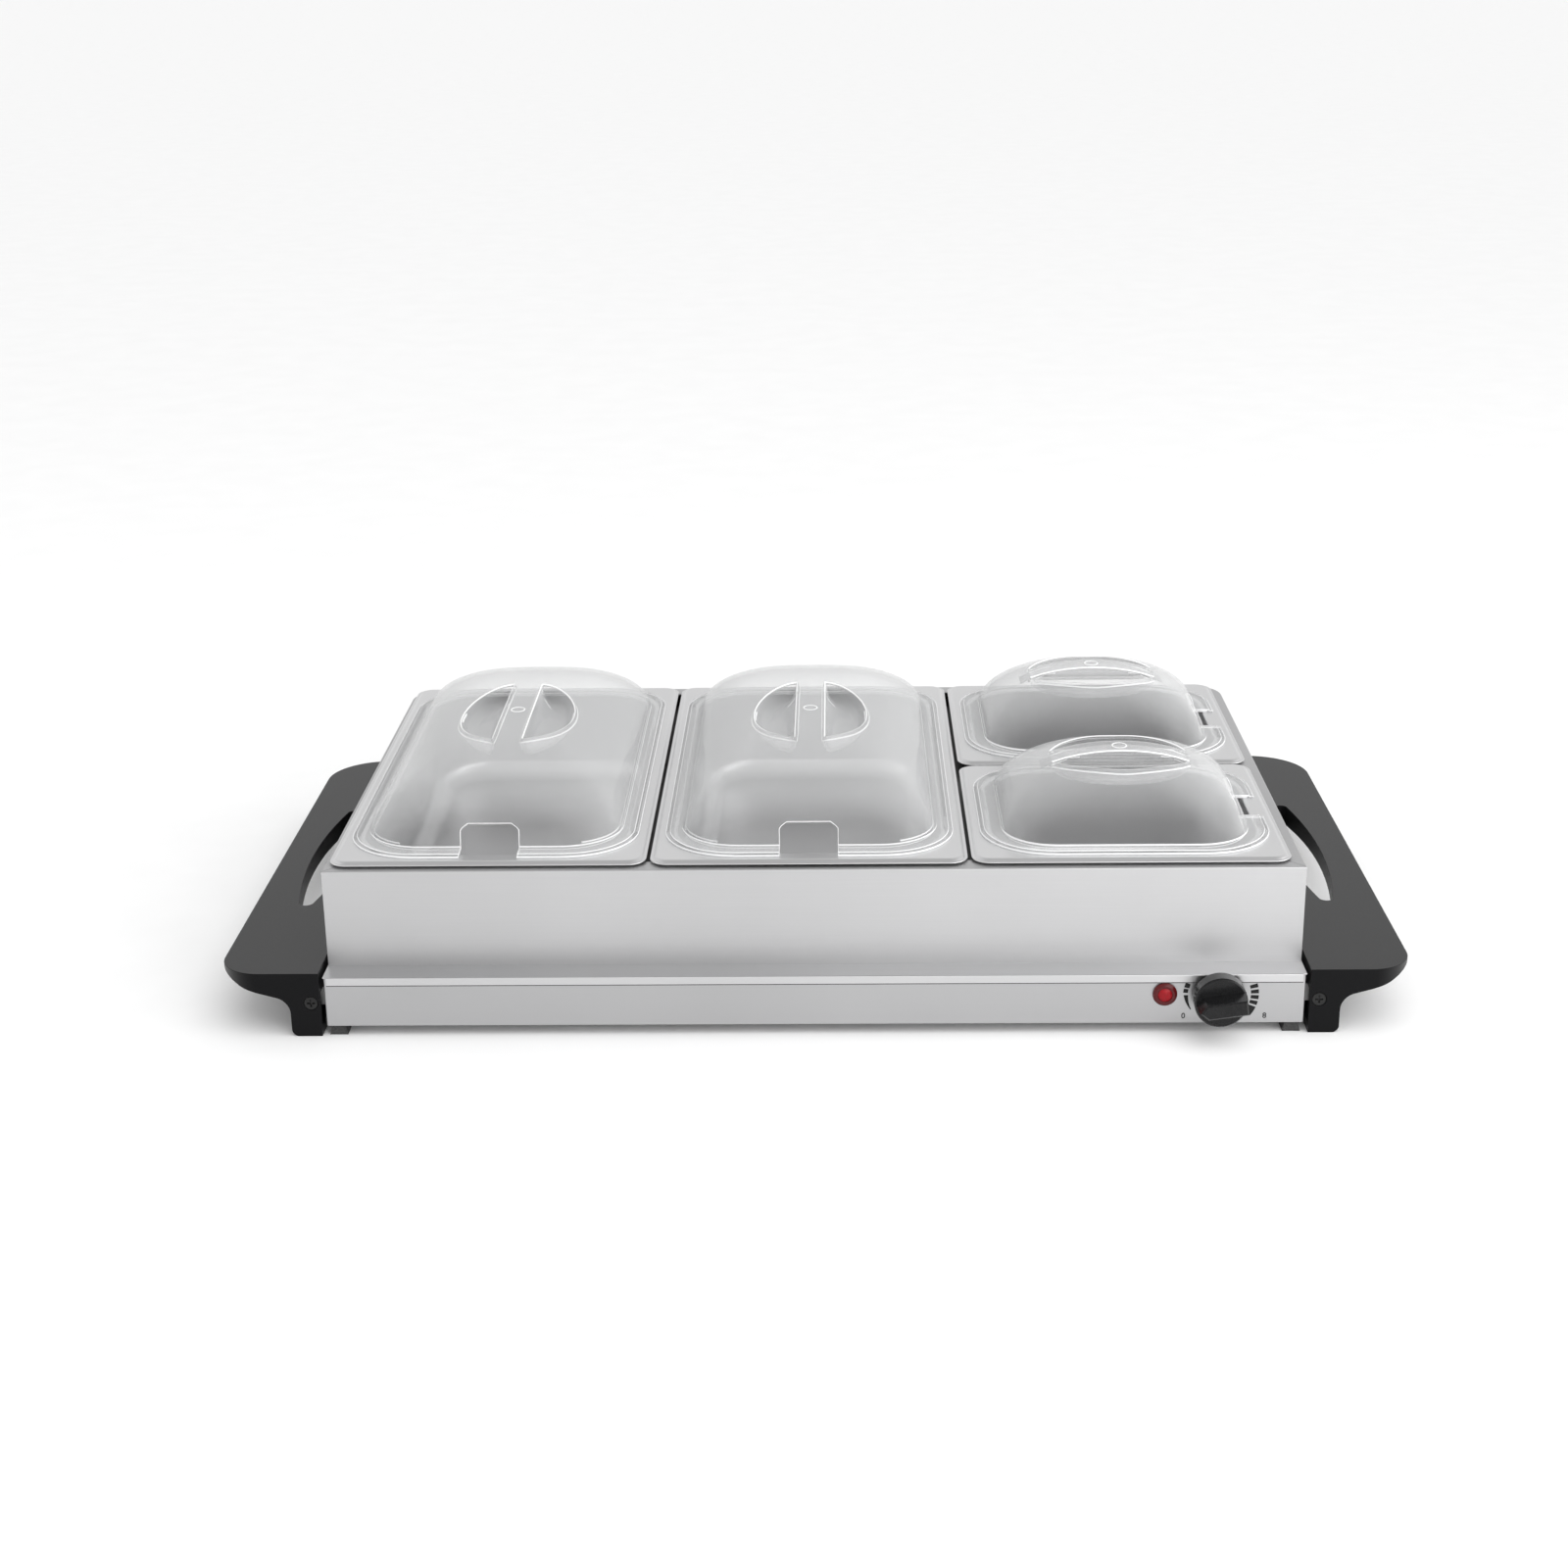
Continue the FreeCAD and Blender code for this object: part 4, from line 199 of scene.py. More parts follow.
def place_piece(name, mesh, body, replaced, materials):
    """Put a finished mesh in the scene for a node of the frame."""
    mesh.shade_smooth()
    # Clearing also forgets which material each face has, so only copies of a node are cleared.
    if mesh.materials:
        mesh.materials.clear()
    for material in materials:
        mesh.materials.append(material)
    piece = bpy.data.objects.new(name, mesh)
    scene.collection.objects.link(piece)
    even = piece.modifiers.new("even_shading", "WEIGHTED_NORMAL")
    even.keep_sharp = True
    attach(piece, body)
    if replaced:
        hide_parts(replaced)
    return piece


def round_edges(bm, edges, width, segments=2, clamp=True):
    """Round some edges and give back the new faces."""
    return bmesh.ops.bevel(bm, geom=edges, offset=width, offset_type="OFFSET", segments=segments, profile=0.5,
                           affect="EDGES", clamp_overlap=clamp, material=-1)["faces"]


def merged_copy(node, body, material, edge=0.0, segments=2):
    """A merged copy of a node, in its place, with its sharp edges rounded."""
    one_point, one_plane, sharp_angle = 0.000002, math.radians(0.5), math.radians(35)
    mesh = nodes[node].data.copy()
    bm = bmesh.new()
    bm.from_mesh(mesh)
    bmesh.ops.remove_doubles(bm, verts=bm.verts, dist=one_point)
    bmesh.ops.dissolve_limit(bm, angle_limit=one_plane, verts=bm.verts, edges=bm.edges)
    if edge:
        sharp = [e for e in bm.edges if len(e.link_faces) == 2 and e.calc_face_angle(0) > sharp_angle]
        round_edges(bm, sharp, edge, segments)
    bm.to_mesh(mesh)
    bm.free()
    piece = place_piece(f"{node}_part", mesh, body, node, [material])
    mesh.set_sharp_from_angle(angle=sharp_angle)
    return piece


brushed_sideways = (0.012, 1.6, 1.6)
base_steel = satin_steel("base_satin_steel", (0.45, 0.45, 0.455), 0.36, brushed_sideways)
plate_steel = satin_steel("plate_satin_steel", (0.59, 0.59, 0.595), 0.32, brushed_sideways)
merged_copy("base_housing", "base", base_steel)
merged_copy("hot_plate", "base", plate_steel, edge=0.0003)

# Under the folded lip of the hot plate, front and rear, a dark strip is painted shadow: it stands for the
# shade in the gap under the lip.
bead_height, bead_depth, bead_edge = 0.0005, 0.00048, 0.0001
half_lip, end_play = 0.0004, 0.004
# Its near-black colour is painted shadow for the gap under the hot plate's lip.
painted_shadow_strip, tree, principled = shader("lip_painted_shadow", Roughness=0.7)
vary(tree, principled, "Base Color", pattern(tree, (1, 1, 1), 0.7), (0.05, 0.05, 0.05), (0.09, 0.09, 0.09))
plate_low, plate_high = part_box("hot_plate")
bead_length, plate_middle = plate_high[0] - plate_low[0] - end_play, (plate_low[0] + plate_high[0]) / 2
bm = bmesh.new()
for y in (plate_low[1] + half_lip, plate_high[1] - half_lip):
    bead = bmesh.ops.create_cube(bm, size=1.0)["verts"]
    bmesh.ops.scale(bm, vec=(bead_length, bead_depth, bead_height), verts=bead)
    bmesh.ops.translate(bm, vec=(plate_middle, y, plate_low[2] - bead_height / 2), verts=bead)
round_edges(bm, bm.edges[:], bead_edge)
place_piece("lip_painted_shadow", finished(bm, "lip_painted_shadow"), "base", None, [painted_shadow_strip])

# Underside: a zinc-plated cover with vent slots, its eight screws, and four rubber feet. The same
# plating is on the brackets, clamps, heat shield, shaft, nut, clip and fuse inside.
zinc, tree, principled = shader("zinc_plate", Metallic=1.0)
spangle = pattern(tree, (1, 1, 1), 0.12, detail=5.0)
vary(tree, principled, "Base Color", spangle, (0.52, 0.53, 0.54), (0.66, 0.66, 0.65))
vary(tree, principled, "Roughness", spangle, 0.32, 0.5)
for node in ("bottom_cover", "bottom_cover_screws", "right_handle_bracket", "left_handle_bracket",
             "element_clamps", "heat_shield", "thermostat_nut", "thermostat_shaft", "lamp_clip",
             "thermal_fuse"):
    dress(node, zinc)
rubber, tree, principled = shader("foot_rubber", Roughness=0.75)
dust = pattern(tree, (1, 1, 1), 0.8, detail=5.0)
vary(tree, principled, "Base Color", dust, (0.02, 0.02, 0.02), (0.05, 0.05, 0.05))
relief(tree, principled, dust, height=0.00005, strength=0.5)
dress("rubber_feet", rubber)


# Inside the base: a heating tube in clamps over a mineral mat, with its ceramic ends, the
# thermostat, a terminal block and sleeved leads.
def mottled(name, low, high, scale, roughness, height=0.0, **settings):
    """A finish whose colour wanders between two tones."""
    material, tree, principled = shader(name, Roughness=roughness, **settings)
    cloud = pattern(tree, (1, 1, 1), scale, detail=5.0)
    vary(tree, principled, "Base Color", cloud, low, high)
    if height:
        relief(tree, principled, cloud, height)
    return material


heat_tint = mottled("heat_tinted_tube", (0.26, 0.23, 0.22), (0.42, 0.38, 0.33), 0.15, 0.45, Metallic=1.0)
dress("heating_element", heat_tint)
fibre = mottled("mineral_fibre", (0.74, 0.73, 0.68), (0.90, 0.89, 0.85), 0.9, 0.95, height=0.0004)
dress("insulation_mat", fibre)
ceramic = mottled("white_ceramic", (0.80, 0.79, 0.75), (0.88, 0.87, 0.83), 0.3, 0.55)
for node in ("element_terminals", "terminal_block"):
    dress(node, ceramic)
dress("thermostat", mottled("brown_moulding", (0.13, 0.08, 0.055), (0.19, 0.12, 0.08), 0.4, 0.5))
dress("earth_screw", mottled("brass", (0.66, 0.52, 0.25), (0.76, 0.62, 0.33), 0.5, 0.3, Metallic=1.0))
bulb = mottled("bulb_glass", (1.0, 0.66, 0.5), (1.0, 0.76, 0.62), 0.2, 0.1, Transmission_Weight=0.8)
dress("neon_bulb", bulb)
sleeve = mottled("lead_sleeve", (0.74, 0.71, 0.64), (0.86, 0.83, 0.77), 1.6, 0.8, height=0.00008)
for node in ("live_lead", "switched_lead", "fuse_lead", "neutral_lead", "lamp_lead", "lamp_neutral_lead"):
    dress(node, sleeve)
dress("earth_lead", mottled("earth_sleeve", (0.20, 0.48, 0.10), (0.30, 0.60, 0.18), 0.3, 0.55))


# Handles: black mouldings screwed to both sides of the base, with a fine satin grain. The lamp's
# plug and the cord gland are of the same plastic.
def gloss_at_a_glance(tree, principled, face_on, slanting):
    """Black plastic shines little when looked at straight and much more at a low angle."""
    glance = wire(tree, "LayerWeight", Blend=0.5)
    gloss = wire(tree, "MapRange", ("Value", glance, "Facing"), **{
        "From Min": 0.15, "From Max": 0.6, "To Min": face_on, "To Max": slanting})
    tree.links.new(gloss.outputs[0], principled.inputs["Specular IOR Level"])


black, tree, principled = shader("black_moulding")
grain = pattern(tree, (1, 1, 1), 2.6, detail=3.0)
vary(tree, principled, "Base Color", grain, (0.005, 0.005, 0.0055), (0.010, 0.010, 0.0105))
gloss_at_a_glance(tree, principled, face_on=0.06, slanting=0.42)
vary(tree, principled, "Roughness", grain, 0.36, 0.46)
relief(tree, principled, grain, height=0.00002, strength=0.5)
for side in ("right", "left"):
    merged_copy(f"{side}_handle", "base", black, edge=0.0011, segments=3)
dark_screw = mottled("blackened_screw", (0.006, 0.006, 0.006), (0.014, 0.014, 0.014), 0.6, 0.3,
                     Specular_IOR_Level=0.3)
for node in ("right_handle_screws", "left_handle_screws"):
    dress(node, dark_screw)
for node in ("lamp_plug", "cord_gland"):
    dress(node, black)

# Pan frame: a front panel and a wrap of satin stainless sheet. The three channels between the pans are the
# same steel painted darker: painted shade for the narrow gaps between the pans.
frame_steel = satin_steel("frame_satin_steel", (0.55, 0.55, 0.555), 0.5, brushed_sideways)
for node in ("frame_front", "frame_wrap"):
    merged_copy(node, "pan_frame", frame_steel)
# Painted shade: the frame's steel made darker so the gaps between the pans look dark.
shaded_channel_steel = satin_steel("channel_painted_shade_steel", (0.26, 0.26, 0.262), 0.55, brushed_sideways)
for node in ("left_divider", "right_divider", "small_pan_support"):
    merged_copy(node, "pan_frame", shaded_channel_steel)

# Pans: drawn from thin stainless sheet, with a flat rim, a pressed bead and a turned-down lip. The rim and
# the inside are one steel, the rim painted lighter and the inside painted darker: painted light and shade.
fine_grain = (2.4, 2.4, 2.4)
lit_rim_steel = satin_steel("pan_rim_lit_steel", (0.72, 0.72, 0.725), 0.34, fine_grain)
shaded_pan_steel = satin_steel("pan_inside_shaded_steel", (0.58, 0.58, 0.585), 0.36, fine_grain)


def rounded_ring(bm, half_x, half_y, radius, height, corner, along_x=1, along_y=1):
    """A rounded rectangle: a square whose corners are bevelled and whose sides are divided."""
    others = set(bm.faces)
    square = bmesh.ops.create_grid(bm, x_segments=1, y_segments=1, size=1.0)["verts"]
    bmesh.ops.scale(bm, vec=(half_x, half_y, 1), verts=square)
    bmesh.ops.translate(bm, vec=(0, 0, height), verts=square)
    bmesh.ops.bevel(bm, geom=square, offset=radius, offset_type="OFFSET", segments=corner, profile=0.5,
                    affect="VERTICES", material=-1)
    face, = (f for f in bm.faces if f not in others)
    for edge in list(face.edges):
        run = edge.verts[1].co - edge.verts[0].co
        cuts = (along_x if abs(run.x) > abs(run.y) else along_y) - 1
        if cuts > 0 and min(abs(run.x), abs(run.y)) < 1e-7:
            bmesh.ops.subdivide_edges(bm, edges=[edge], cuts=cuts)
    face, = (f for f in bm.faces if f not in others)
    return face


def step_in(bm, face, steps):
    """Draw a face in and up again and again; each step is (inwards, upwards) in metres."""
    for inwards, upwards in steps:
        bmesh.ops.inset_region(bm, faces=[face], thickness=inwards, depth=upwards,
                               use_even_offset=True, use_boundary=True)


def join_rings(bm, faces):
    """Drop the faces inside a row of rings and close the surface between them."""
    loops = [list(face.edges) for face in faces]
    bmesh.ops.delete(bm, geom=faces, context="FACES_ONLY")
    for low, high in zip(loops, loops[1:]):
        # Held far apart, two rings join corner to corner, however close they really lie.
        lifted = list({v for e in high for v in e.verts})
        bmesh.ops.translate(bm, vec=(0, 0, 1), verts=lifted)
        bmesh.ops.bridge_loops(bm, edges=low + high)
        bmesh.ops.translate(bm, vec=(0, 0, -1), verts=lifted)
    return loops


def pan_mesh(half_x, half_y):
    """A pan about the middle of its rim: lip, bead, flat rim, mouth, drafted wall and floor."""
    rim_corner, lip_drop, rim_width, mouth_bevel, mouth_corner = 0.010, 0.0019, 0.0135, 0.0014, 0.036
    inside_begins = -0.0006
    # Millimetres inwards and upwards, from the edge of the lip over the bead to the flat rim.
    lip_and_bead = [(0, 0.45), (0.25, 0.2), (0.5, 0.05), (0.7, -0.18), (0.25, 0.1), (0.35, 0.35),
                    (0.75, 0.6), (0.7, 0.24), (0.4, 0.08), (0.3, 0.01)]
    # Millimetres inwards from the mouth and down from the rim, to the middle of the floor.
    wall = [(-1.4, 0), (-0.8, 0.08), (-0.3, 0.35), (0.02, 0.85), (0.1, 1.5), (1.4, 20), (3.16, 45.2),
            (3.91, 48.75), (6.17, 52.66), (9.63, 55.56), (12.77, 56.86), (16.13, 57.3)]
    bm = bmesh.new()
    rim = rounded_ring(bm, half_x, half_y, rim_corner, -lip_drop, corner=10)
    step_in(bm, rim, [(inwards / 1000, upwards / 1000) for inwards, upwards in lip_and_bead])
    edge = rim_width - mouth_bevel
    mouth = rounded_ring(bm, half_x - edge, half_y - edge, mouth_corner + mouth_bevel, 0.0, corner=10)
    loops = join_rings(bm, [rim, mouth])
    floor_face, = bmesh.ops.contextual_create(bm, geom=loops[-1])["faces"]
    if floor_face.normal.z < 0:
        bmesh.ops.reverse_faces(bm, faces=[floor_face])
    step_in(bm, floor_face, [((in1 - in0) / 1000, (down0 - down1) / 1000)
                             for (in0, down0), (in1, down1) in zip(wall, wall[1:])])
    bmesh.ops.recalc_face_normals(bm, faces=bm.faces)
    if floor_face.normal.z < 0:
        bmesh.ops.reverse_faces(bm, faces=bm.faces)
    # The faces inside the mouth get the darker copy of the steel: painted shade inside the pan.
    for face in bm.faces:
        x, y, z = face.calc_center_median()
        face.material_index = int(abs(x) < half_x - edge and abs(y) < half_y - edge and z < inside_begins)
    return bm


rim_top, frame_middle, small_shift = 0.0947, 0.01225, 0.08165
half_width, half_length, small_half_length, sheet_steel = 0.088, 0.1625, 0.08085, 0.0007
places = {"left": (-0.1798, frame_middle), "middle": (-0.0018, frame_middle),
          "front": (0.1762, frame_middle - small_shift), "rear": (0.1762, frame_middle + small_shift)}
for name, (x, y) in places.items():
    bm = pan_mesh(half_width, half_length if name in ("left", "middle") else small_half_length)
    bmesh.ops.translate(bm, vec=(x, y, rim_top), verts=bm.verts)
    mesh = finished(bm, f"{name}_pan_sheet")
    pan = place_piece(f"{name}_pan_sheet", mesh, f"{name}_pan_body", f"{name}_pan",
                      [lit_rim_steel, shaded_pan_steel])
    sheet = pan.modifiers.new("sheet", "SOLIDIFY")
    sheet.thickness, sheet.offset, sheet.use_even_offset = sheet_steel, -1, True
    pan.modifiers.move(1, 0)

# Lids: clear covers moulded in one piece, 2 mm thick. Each has a stepped flange that lies on the
# pan's rim, a dome that is rounder across than along, two finger wells with a bar left standing
# between them, and a notch in one end for the handle of a ladle.
def with_borders(faces):
    """Faces with their edges and corners, as a cut wants them."""
    edges = dict.fromkeys(e for f in faces for e in f.edges)
    corners = dict.fromkeys(v for f in faces for v in f.verts)
    return faces + list(edges) + list(corners)


def lid_mesh(half_x, half_y, crown, fullness, well_x, well_y, well_power):
    """A lid about its own middle, its bar along Y and its notch at the front."""
    flange, end_flange, flange_corner = 0.009, 0.012, 0.040
    edge_height, edge_ledge, edge_step = 0.0012, 0.0024, 0.0008
    dome_corner, corner_growth, dome_foot, top_zone = 0.455, 0.45, 0.0045, 0.028
    bar, drawn_to_bar, shortest_chord = 0.0091, 0.0007, 0.03
    draft, scoop, well_floor = math.radians(10), 0.008, 0.0246
    first_drop, first_height, wall_drop, mouth_gap = 0.0012, 0.0350, 0.0037, 0.001
    notch_half, notch_top, notch_round, notch_reach, run_past = 0.01615, 0.015, 0.0056, 0.030, 0.004
    foot_x, foot_y = half_x - flange, half_y - end_flange
    divided = {"corner": 12, "along_x": 4, "along_y": 10}

    def dome_section(level):
        """Half width, half length and corner radius of the dome at a share of its height."""
        across = foot_x * math.sqrt(1 - level * level)
        lengthwise = foot_y * (1 - level ** fullness) ** (1 / fullness)
        return across, lengthwise, (dome_corner + corner_growth * level * level) * across

    def dome_ring(level):
        return rounded_ring(bm, *dome_section(level), level * crown, **divided)

    def dome_height(x, y):
        """Height of the dome over a point, found by halving."""
        low, high = 0.0, 0.9999
        for _ in range(26):
            level = (low + high) / 2
            across, lengthwise, bend = dome_section(level)
            out_x, out_y = abs(x) - (across - bend), abs(y) - (lengthwise - bend)
            beyond = math.hypot(max(out_x, 0), max(out_y, 0)) + min(max(out_x, out_y), 0) - bend
            low, high = (level, high) if beyond < 0 else (low, level)
        return low * crown

    def oval_place(angle, shrink=0.0):
        """A point of the oval round both wells, drawn in on every side by shrink."""
        across = abs(math.cos(angle)) ** (2 / well_power)
        lengthwise = abs(math.sin(angle)) ** (2 / well_power)
        return (math.copysign((well_x - shrink) * across, math.cos(angle)),
                math.copysign((well_y - shrink) * lengthwise, math.sin(angle)))

    def on_bar(v, touching=1e-6):
        return abs(abs(v.co.x) - bar) < touching

    # The flange with its step, then the dome in rings, the last four drawn over to the oval.
    bm = bmesh.new()
    plate = rounded_ring(bm, half_x, half_y, flange_corner, 0.0, **divided)
    step_in(bm, plate, [(0.0, edge_height), (edge_ledge, 0.0), (0.0, edge_step)])
    flange_level, notch_level = (edge_height + edge_step) / crown, notch_top / crown
    levels = (flange_level, 0.078, 0.11, 0.17, 0.237, 0.31, notch_level, 0.47, 0.54, 0.61, 0.68, 0.74)
    rings = [plate] + [dome_ring(level) for level in levels]
    for share in (0.2, 0.45, 0.72, 1.0):
        face = dome_ring(levels[-1])
        reach_x, reach_y = max(v.co.x for v in face.verts), max(v.co.y for v in face.verts)
        for v in face.verts:
            x, y = oval_place(math.atan2(v.co.y / reach_y, v.co.x / reach_x))
            v.co.x, v.co.y = v.co.x + (x - v.co.x) * share, v.co.y + (y - v.co.y) * share
            if share == 1.0 and on_bar(v, drawn_to_bar):
                v.co.x = math.copysign(bar, v.co.x)
            v.co.z = dome_height(v.co.x, v.co.y)
        rings.append(face)
    loops = join_rings(bm, rings)

    # The bar: the face inside the oval is cut along both sides of the bar, which gets ribs across
    # it that follow the dome.
    crown_faces = bmesh.ops.contextual_create(bm, geom=loops[-1])["faces"]
    for side in (-1, 1):
        near = with_borders([f for f in crown_faces if f.is_valid])
        cut = bmesh.ops.bisect_plane(bm, geom=near, plane_co=(side * bar, 0, 0), plane_no=(1, 0, 0))
        crown_faces = [g for g in cut["geom"] if isinstance(g, bmesh.types.BMFace)]
    chords = [g for g in with_borders(crown_faces) if isinstance(g, bmesh.types.BMEdge)
              and all(on_bar(v) for v in g.verts) and g.calc_length() > shortest_chord]
    bmesh.ops.subdivide_edges(bm, edges=chords, cuts=9)
    sides = [v for v in bm.verts if on_bar(v) and v.co.z > top_zone]
    for v in sides:
        v.co.z = dome_height(v.co.x, v.co.y)
    far_side = sorted((v for v in sides if v.co.x > 0), key=lambda v: v.co.y)
    near_side = sorted((v for v in sides if v.co.x < 0), key=lambda v: v.co.y)
    for one, other in zip(far_side[1:-1], near_side[1:-1]):
        bmesh.ops.connect_verts(bm, verts=[one, other])

    # The dome between the flange and the bar is smoothed.
    dome = [v for v in bm.verts if v.co.z > dome_foot and any(len(f.verts) == 4 for f in v.link_faces)
            and not any(len(f.verts) > 12 for f in v.link_faces)
            and not (abs(v.co.x) <= bar + 1e-6 and v.co.z > top_zone)]
    for _ in range(3):
        bmesh.ops.smooth_vert(bm, verts=dome, factor=0.5, use_axis_x=True, use_axis_y=True, use_axis_z=True)

    # The wells: the mouth of each is drawn in, down its wall and round into its floor.
    well_steps = [(math.tan(draft) * first_drop, first_height)]
    for angle in (draft, math.radians(28), math.radians(46), math.radians(66), math.radians(90)):
        well_steps.append((math.tan(draft) * wall_drop + scoop / math.cos(draft) - scoop * math.cos(angle),
                           well_floor + scoop - scoop * math.sin(angle)))
    for well in [f for f in bm.faces if f.normal.length and len(f.verts) > 12
                 and f.calc_center_median().z > top_zone and abs(f.calc_center_median().x) > bar]:
        side = math.copysign(1, well.calc_center_median().x)
        limit = math.acos((bar / well_x) ** (well_power / 2))
        reach = oval_place(limit)[1]
        keys = []
        for v in well.verts:
            if on_bar(v):
                keys.append(("bar", v.co.y / reach, v.co.z))
            else:
                angle = math.acos(min(1.0, (abs(v.co.x) / well_x) ** (well_power / 2)))
                keys.append(("arc", math.copysign(angle / limit, v.co.y), v.co.z))
        for shrink, height in well_steps:
            bmesh.ops.inset_region(bm, faces=[well], thickness=0.00001, use_even_offset=True)
            limit = math.acos(((bar + shrink) / (well_x - shrink)) ** (well_power / 2))
            for v, (where, part, mouth) in zip(well.verts, keys):
                x, y = oval_place(limit * (1.0 if where == "bar" else part), shrink)
                if where == "bar":
                    x, y = bar + shrink, abs(y) * part
                z = min(height, mouth - mouth_gap) if height == first_height else height
                v.co = (side * x, y, z)

    # The notch: the front of the dome and of the flange is cut away under an arch. The flat cuts
    # run on past it, and those of the arch's corners stop at it.
    front = -half_y + notch_reach
    planes = [((notch_half, 0, 0), (1, 0, 0)), ((-notch_half, 0, 0), (1, 0, 0)),
              ((0, 0, notch_top), (0, 0, 1)), ((0, front, 0), (0, 1, 0))]
    arch = [(notch_half - notch_round + notch_round * math.cos(angle),
             notch_top - notch_round + notch_round * math.sin(angle))
            for angle in [math.radians(22.5 * number) for number in range(5)]]
    for (x0, z0), (x1, z1) in zip(arch, arch[1:]):
        for side in (-1, 1):
            planes.append(((side * x0, 0, z0), (side * (z1 - z0), 0, x0 - x1)))
    for number, (point, normal) in enumerate(planes):
        past = 1e-5 if number > 3 else run_past
        widest = notch_half + (past if number > 1 else 1)
        near = [f for f in bm.faces if all(abs(v.co.x) < widest and v.co.y < front + run_past
                                          and v.co.z < notch_top + past for v in f.verts)]
        bmesh.ops.bisect_plane(bm, geom=with_borders(near), plane_co=point, plane_no=normal, dist=1e-6)

    def in_notch(spot):
        if spot.y > front or abs(spot.x) > notch_half or spot.z > notch_top:
            return False
        over_x, over_z = abs(spot.x) - (notch_half - notch_round), spot.z - (notch_top - notch_round)
        return not (over_x > 0 and over_z > 0 and math.hypot(over_x, over_z) > notch_round)
    bmesh.ops.delete(bm, geom=[f for f in bm.faces if in_notch(f.calc_center_median())], context="FACES")
    return bm


def moulded(bm, place, quarter_turns):
    """Give a lid its wall, round its edges, and set it down on its pan."""
    wall, narrow_face, well_level, sharp_angle = 0.002, 0.0021, 0.027, math.radians(35)
    foot_low, foot_high, upper_edge, lower_edge = 0.0022, 0.0031, 0.00065, 0.00035
    bmesh.ops.recalc_face_normals(bm, faces=bm.faces)
    if sum(f.normal.z * f.calc_area() for f in bm.faces) < 0:
        bmesh.ops.reverse_faces(bm, faces=bm.faces)
    bmesh.ops.remove_doubles(bm, verts=bm.verts, dist=0.000005)
    bmesh.ops.solidify(bm, geom=bm.verts[:] + bm.edges[:] + bm.faces[:], thickness=wall)
    for v in bm.verts:
        v.co.z = max(v.co.z, 0.0)
    bmesh.ops.remove_doubles(bm, verts=bm.verts, dist=0.0001)
    bmesh.ops.dissolve_degenerate(bm, edges=bm.edges, dist=0.0001)

    def crisp(edge):
        return len(edge.link_faces) == 2 and edge.is_convex and edge.calc_face_angle(0) > sharp_angle

    # The foot of the dome, the rims and the rounded edges get a whiter, more opaque copy of the clear
    # plastic: a painted highlight along them.
    for face in bm.faces:
        height = face.calc_center_median().z
        foot = foot_low < height < foot_high and abs(face.normal.z) < 0.9
        lengths = [edge.calc_length() for edge in face.edges]
        crisp_length = sum(edge.calc_length() for edge in face.edges if crisp(edge))
        narrow = face.calc_area() / max(lengths) < narrow_face
        rim = narrow and height < well_level and crisp_length > 0.6 * sum(lengths)
        if foot or rim:
            face.material_index = 1
    for width, low, high in ((upper_edge, well_level, 1.0), (lower_edge, -1.0, well_level)):
        sharp = [e for e in bm.edges if crisp(e) and all(low < v.co.z < high for v in e.verts)]
        for face in round_edges(bm, sharp, width, clamp=False):
            face.material_index = 1
    turn = Matrix.Rotation(quarter_turns * math.pi / 2, 3, "Z")
    bmesh.ops.rotate(bm, cent=(0, 0, 0), matrix=turn, verts=bm.verts)
    bmesh.ops.translate(bm, vec=(*place, rim_top), verts=bm.verts)


def clear_moulding(name, colour, haze_low, haze_high, roughness):
    """Clear plastic seen as a thin wall: it hides more of what lies behind it towards its edges."""
    material, tree, principled = shader(name, Roughness=roughness, IOR=1.58)
    principled.inputs["Base Color"].default_value = (*colour, 1)
    see_through = wire(tree, "BsdfTransparent")
    facing = wire(tree, "LayerWeight", Blend=0.3)
    haze = wire(tree, "MapRange", ("Value", facing, "Facing"), **{"To Min": haze_low, "To Max": haze_high})
    cover = wire(tree, "MixShader", ("Fac", haze, 0))
    tree.links.new(see_through.outputs[0], cover.inputs[1])
    tree.links.new(principled.outputs[0], cover.inputs[2])
    tree.links.new(cover.outputs[0], tree.nodes["Material Output"].inputs["Surface"])
    return material


clear = clear_moulding("clear_lid", (0.68, 0.685, 0.69), 0.04, 0.72, 0.12)
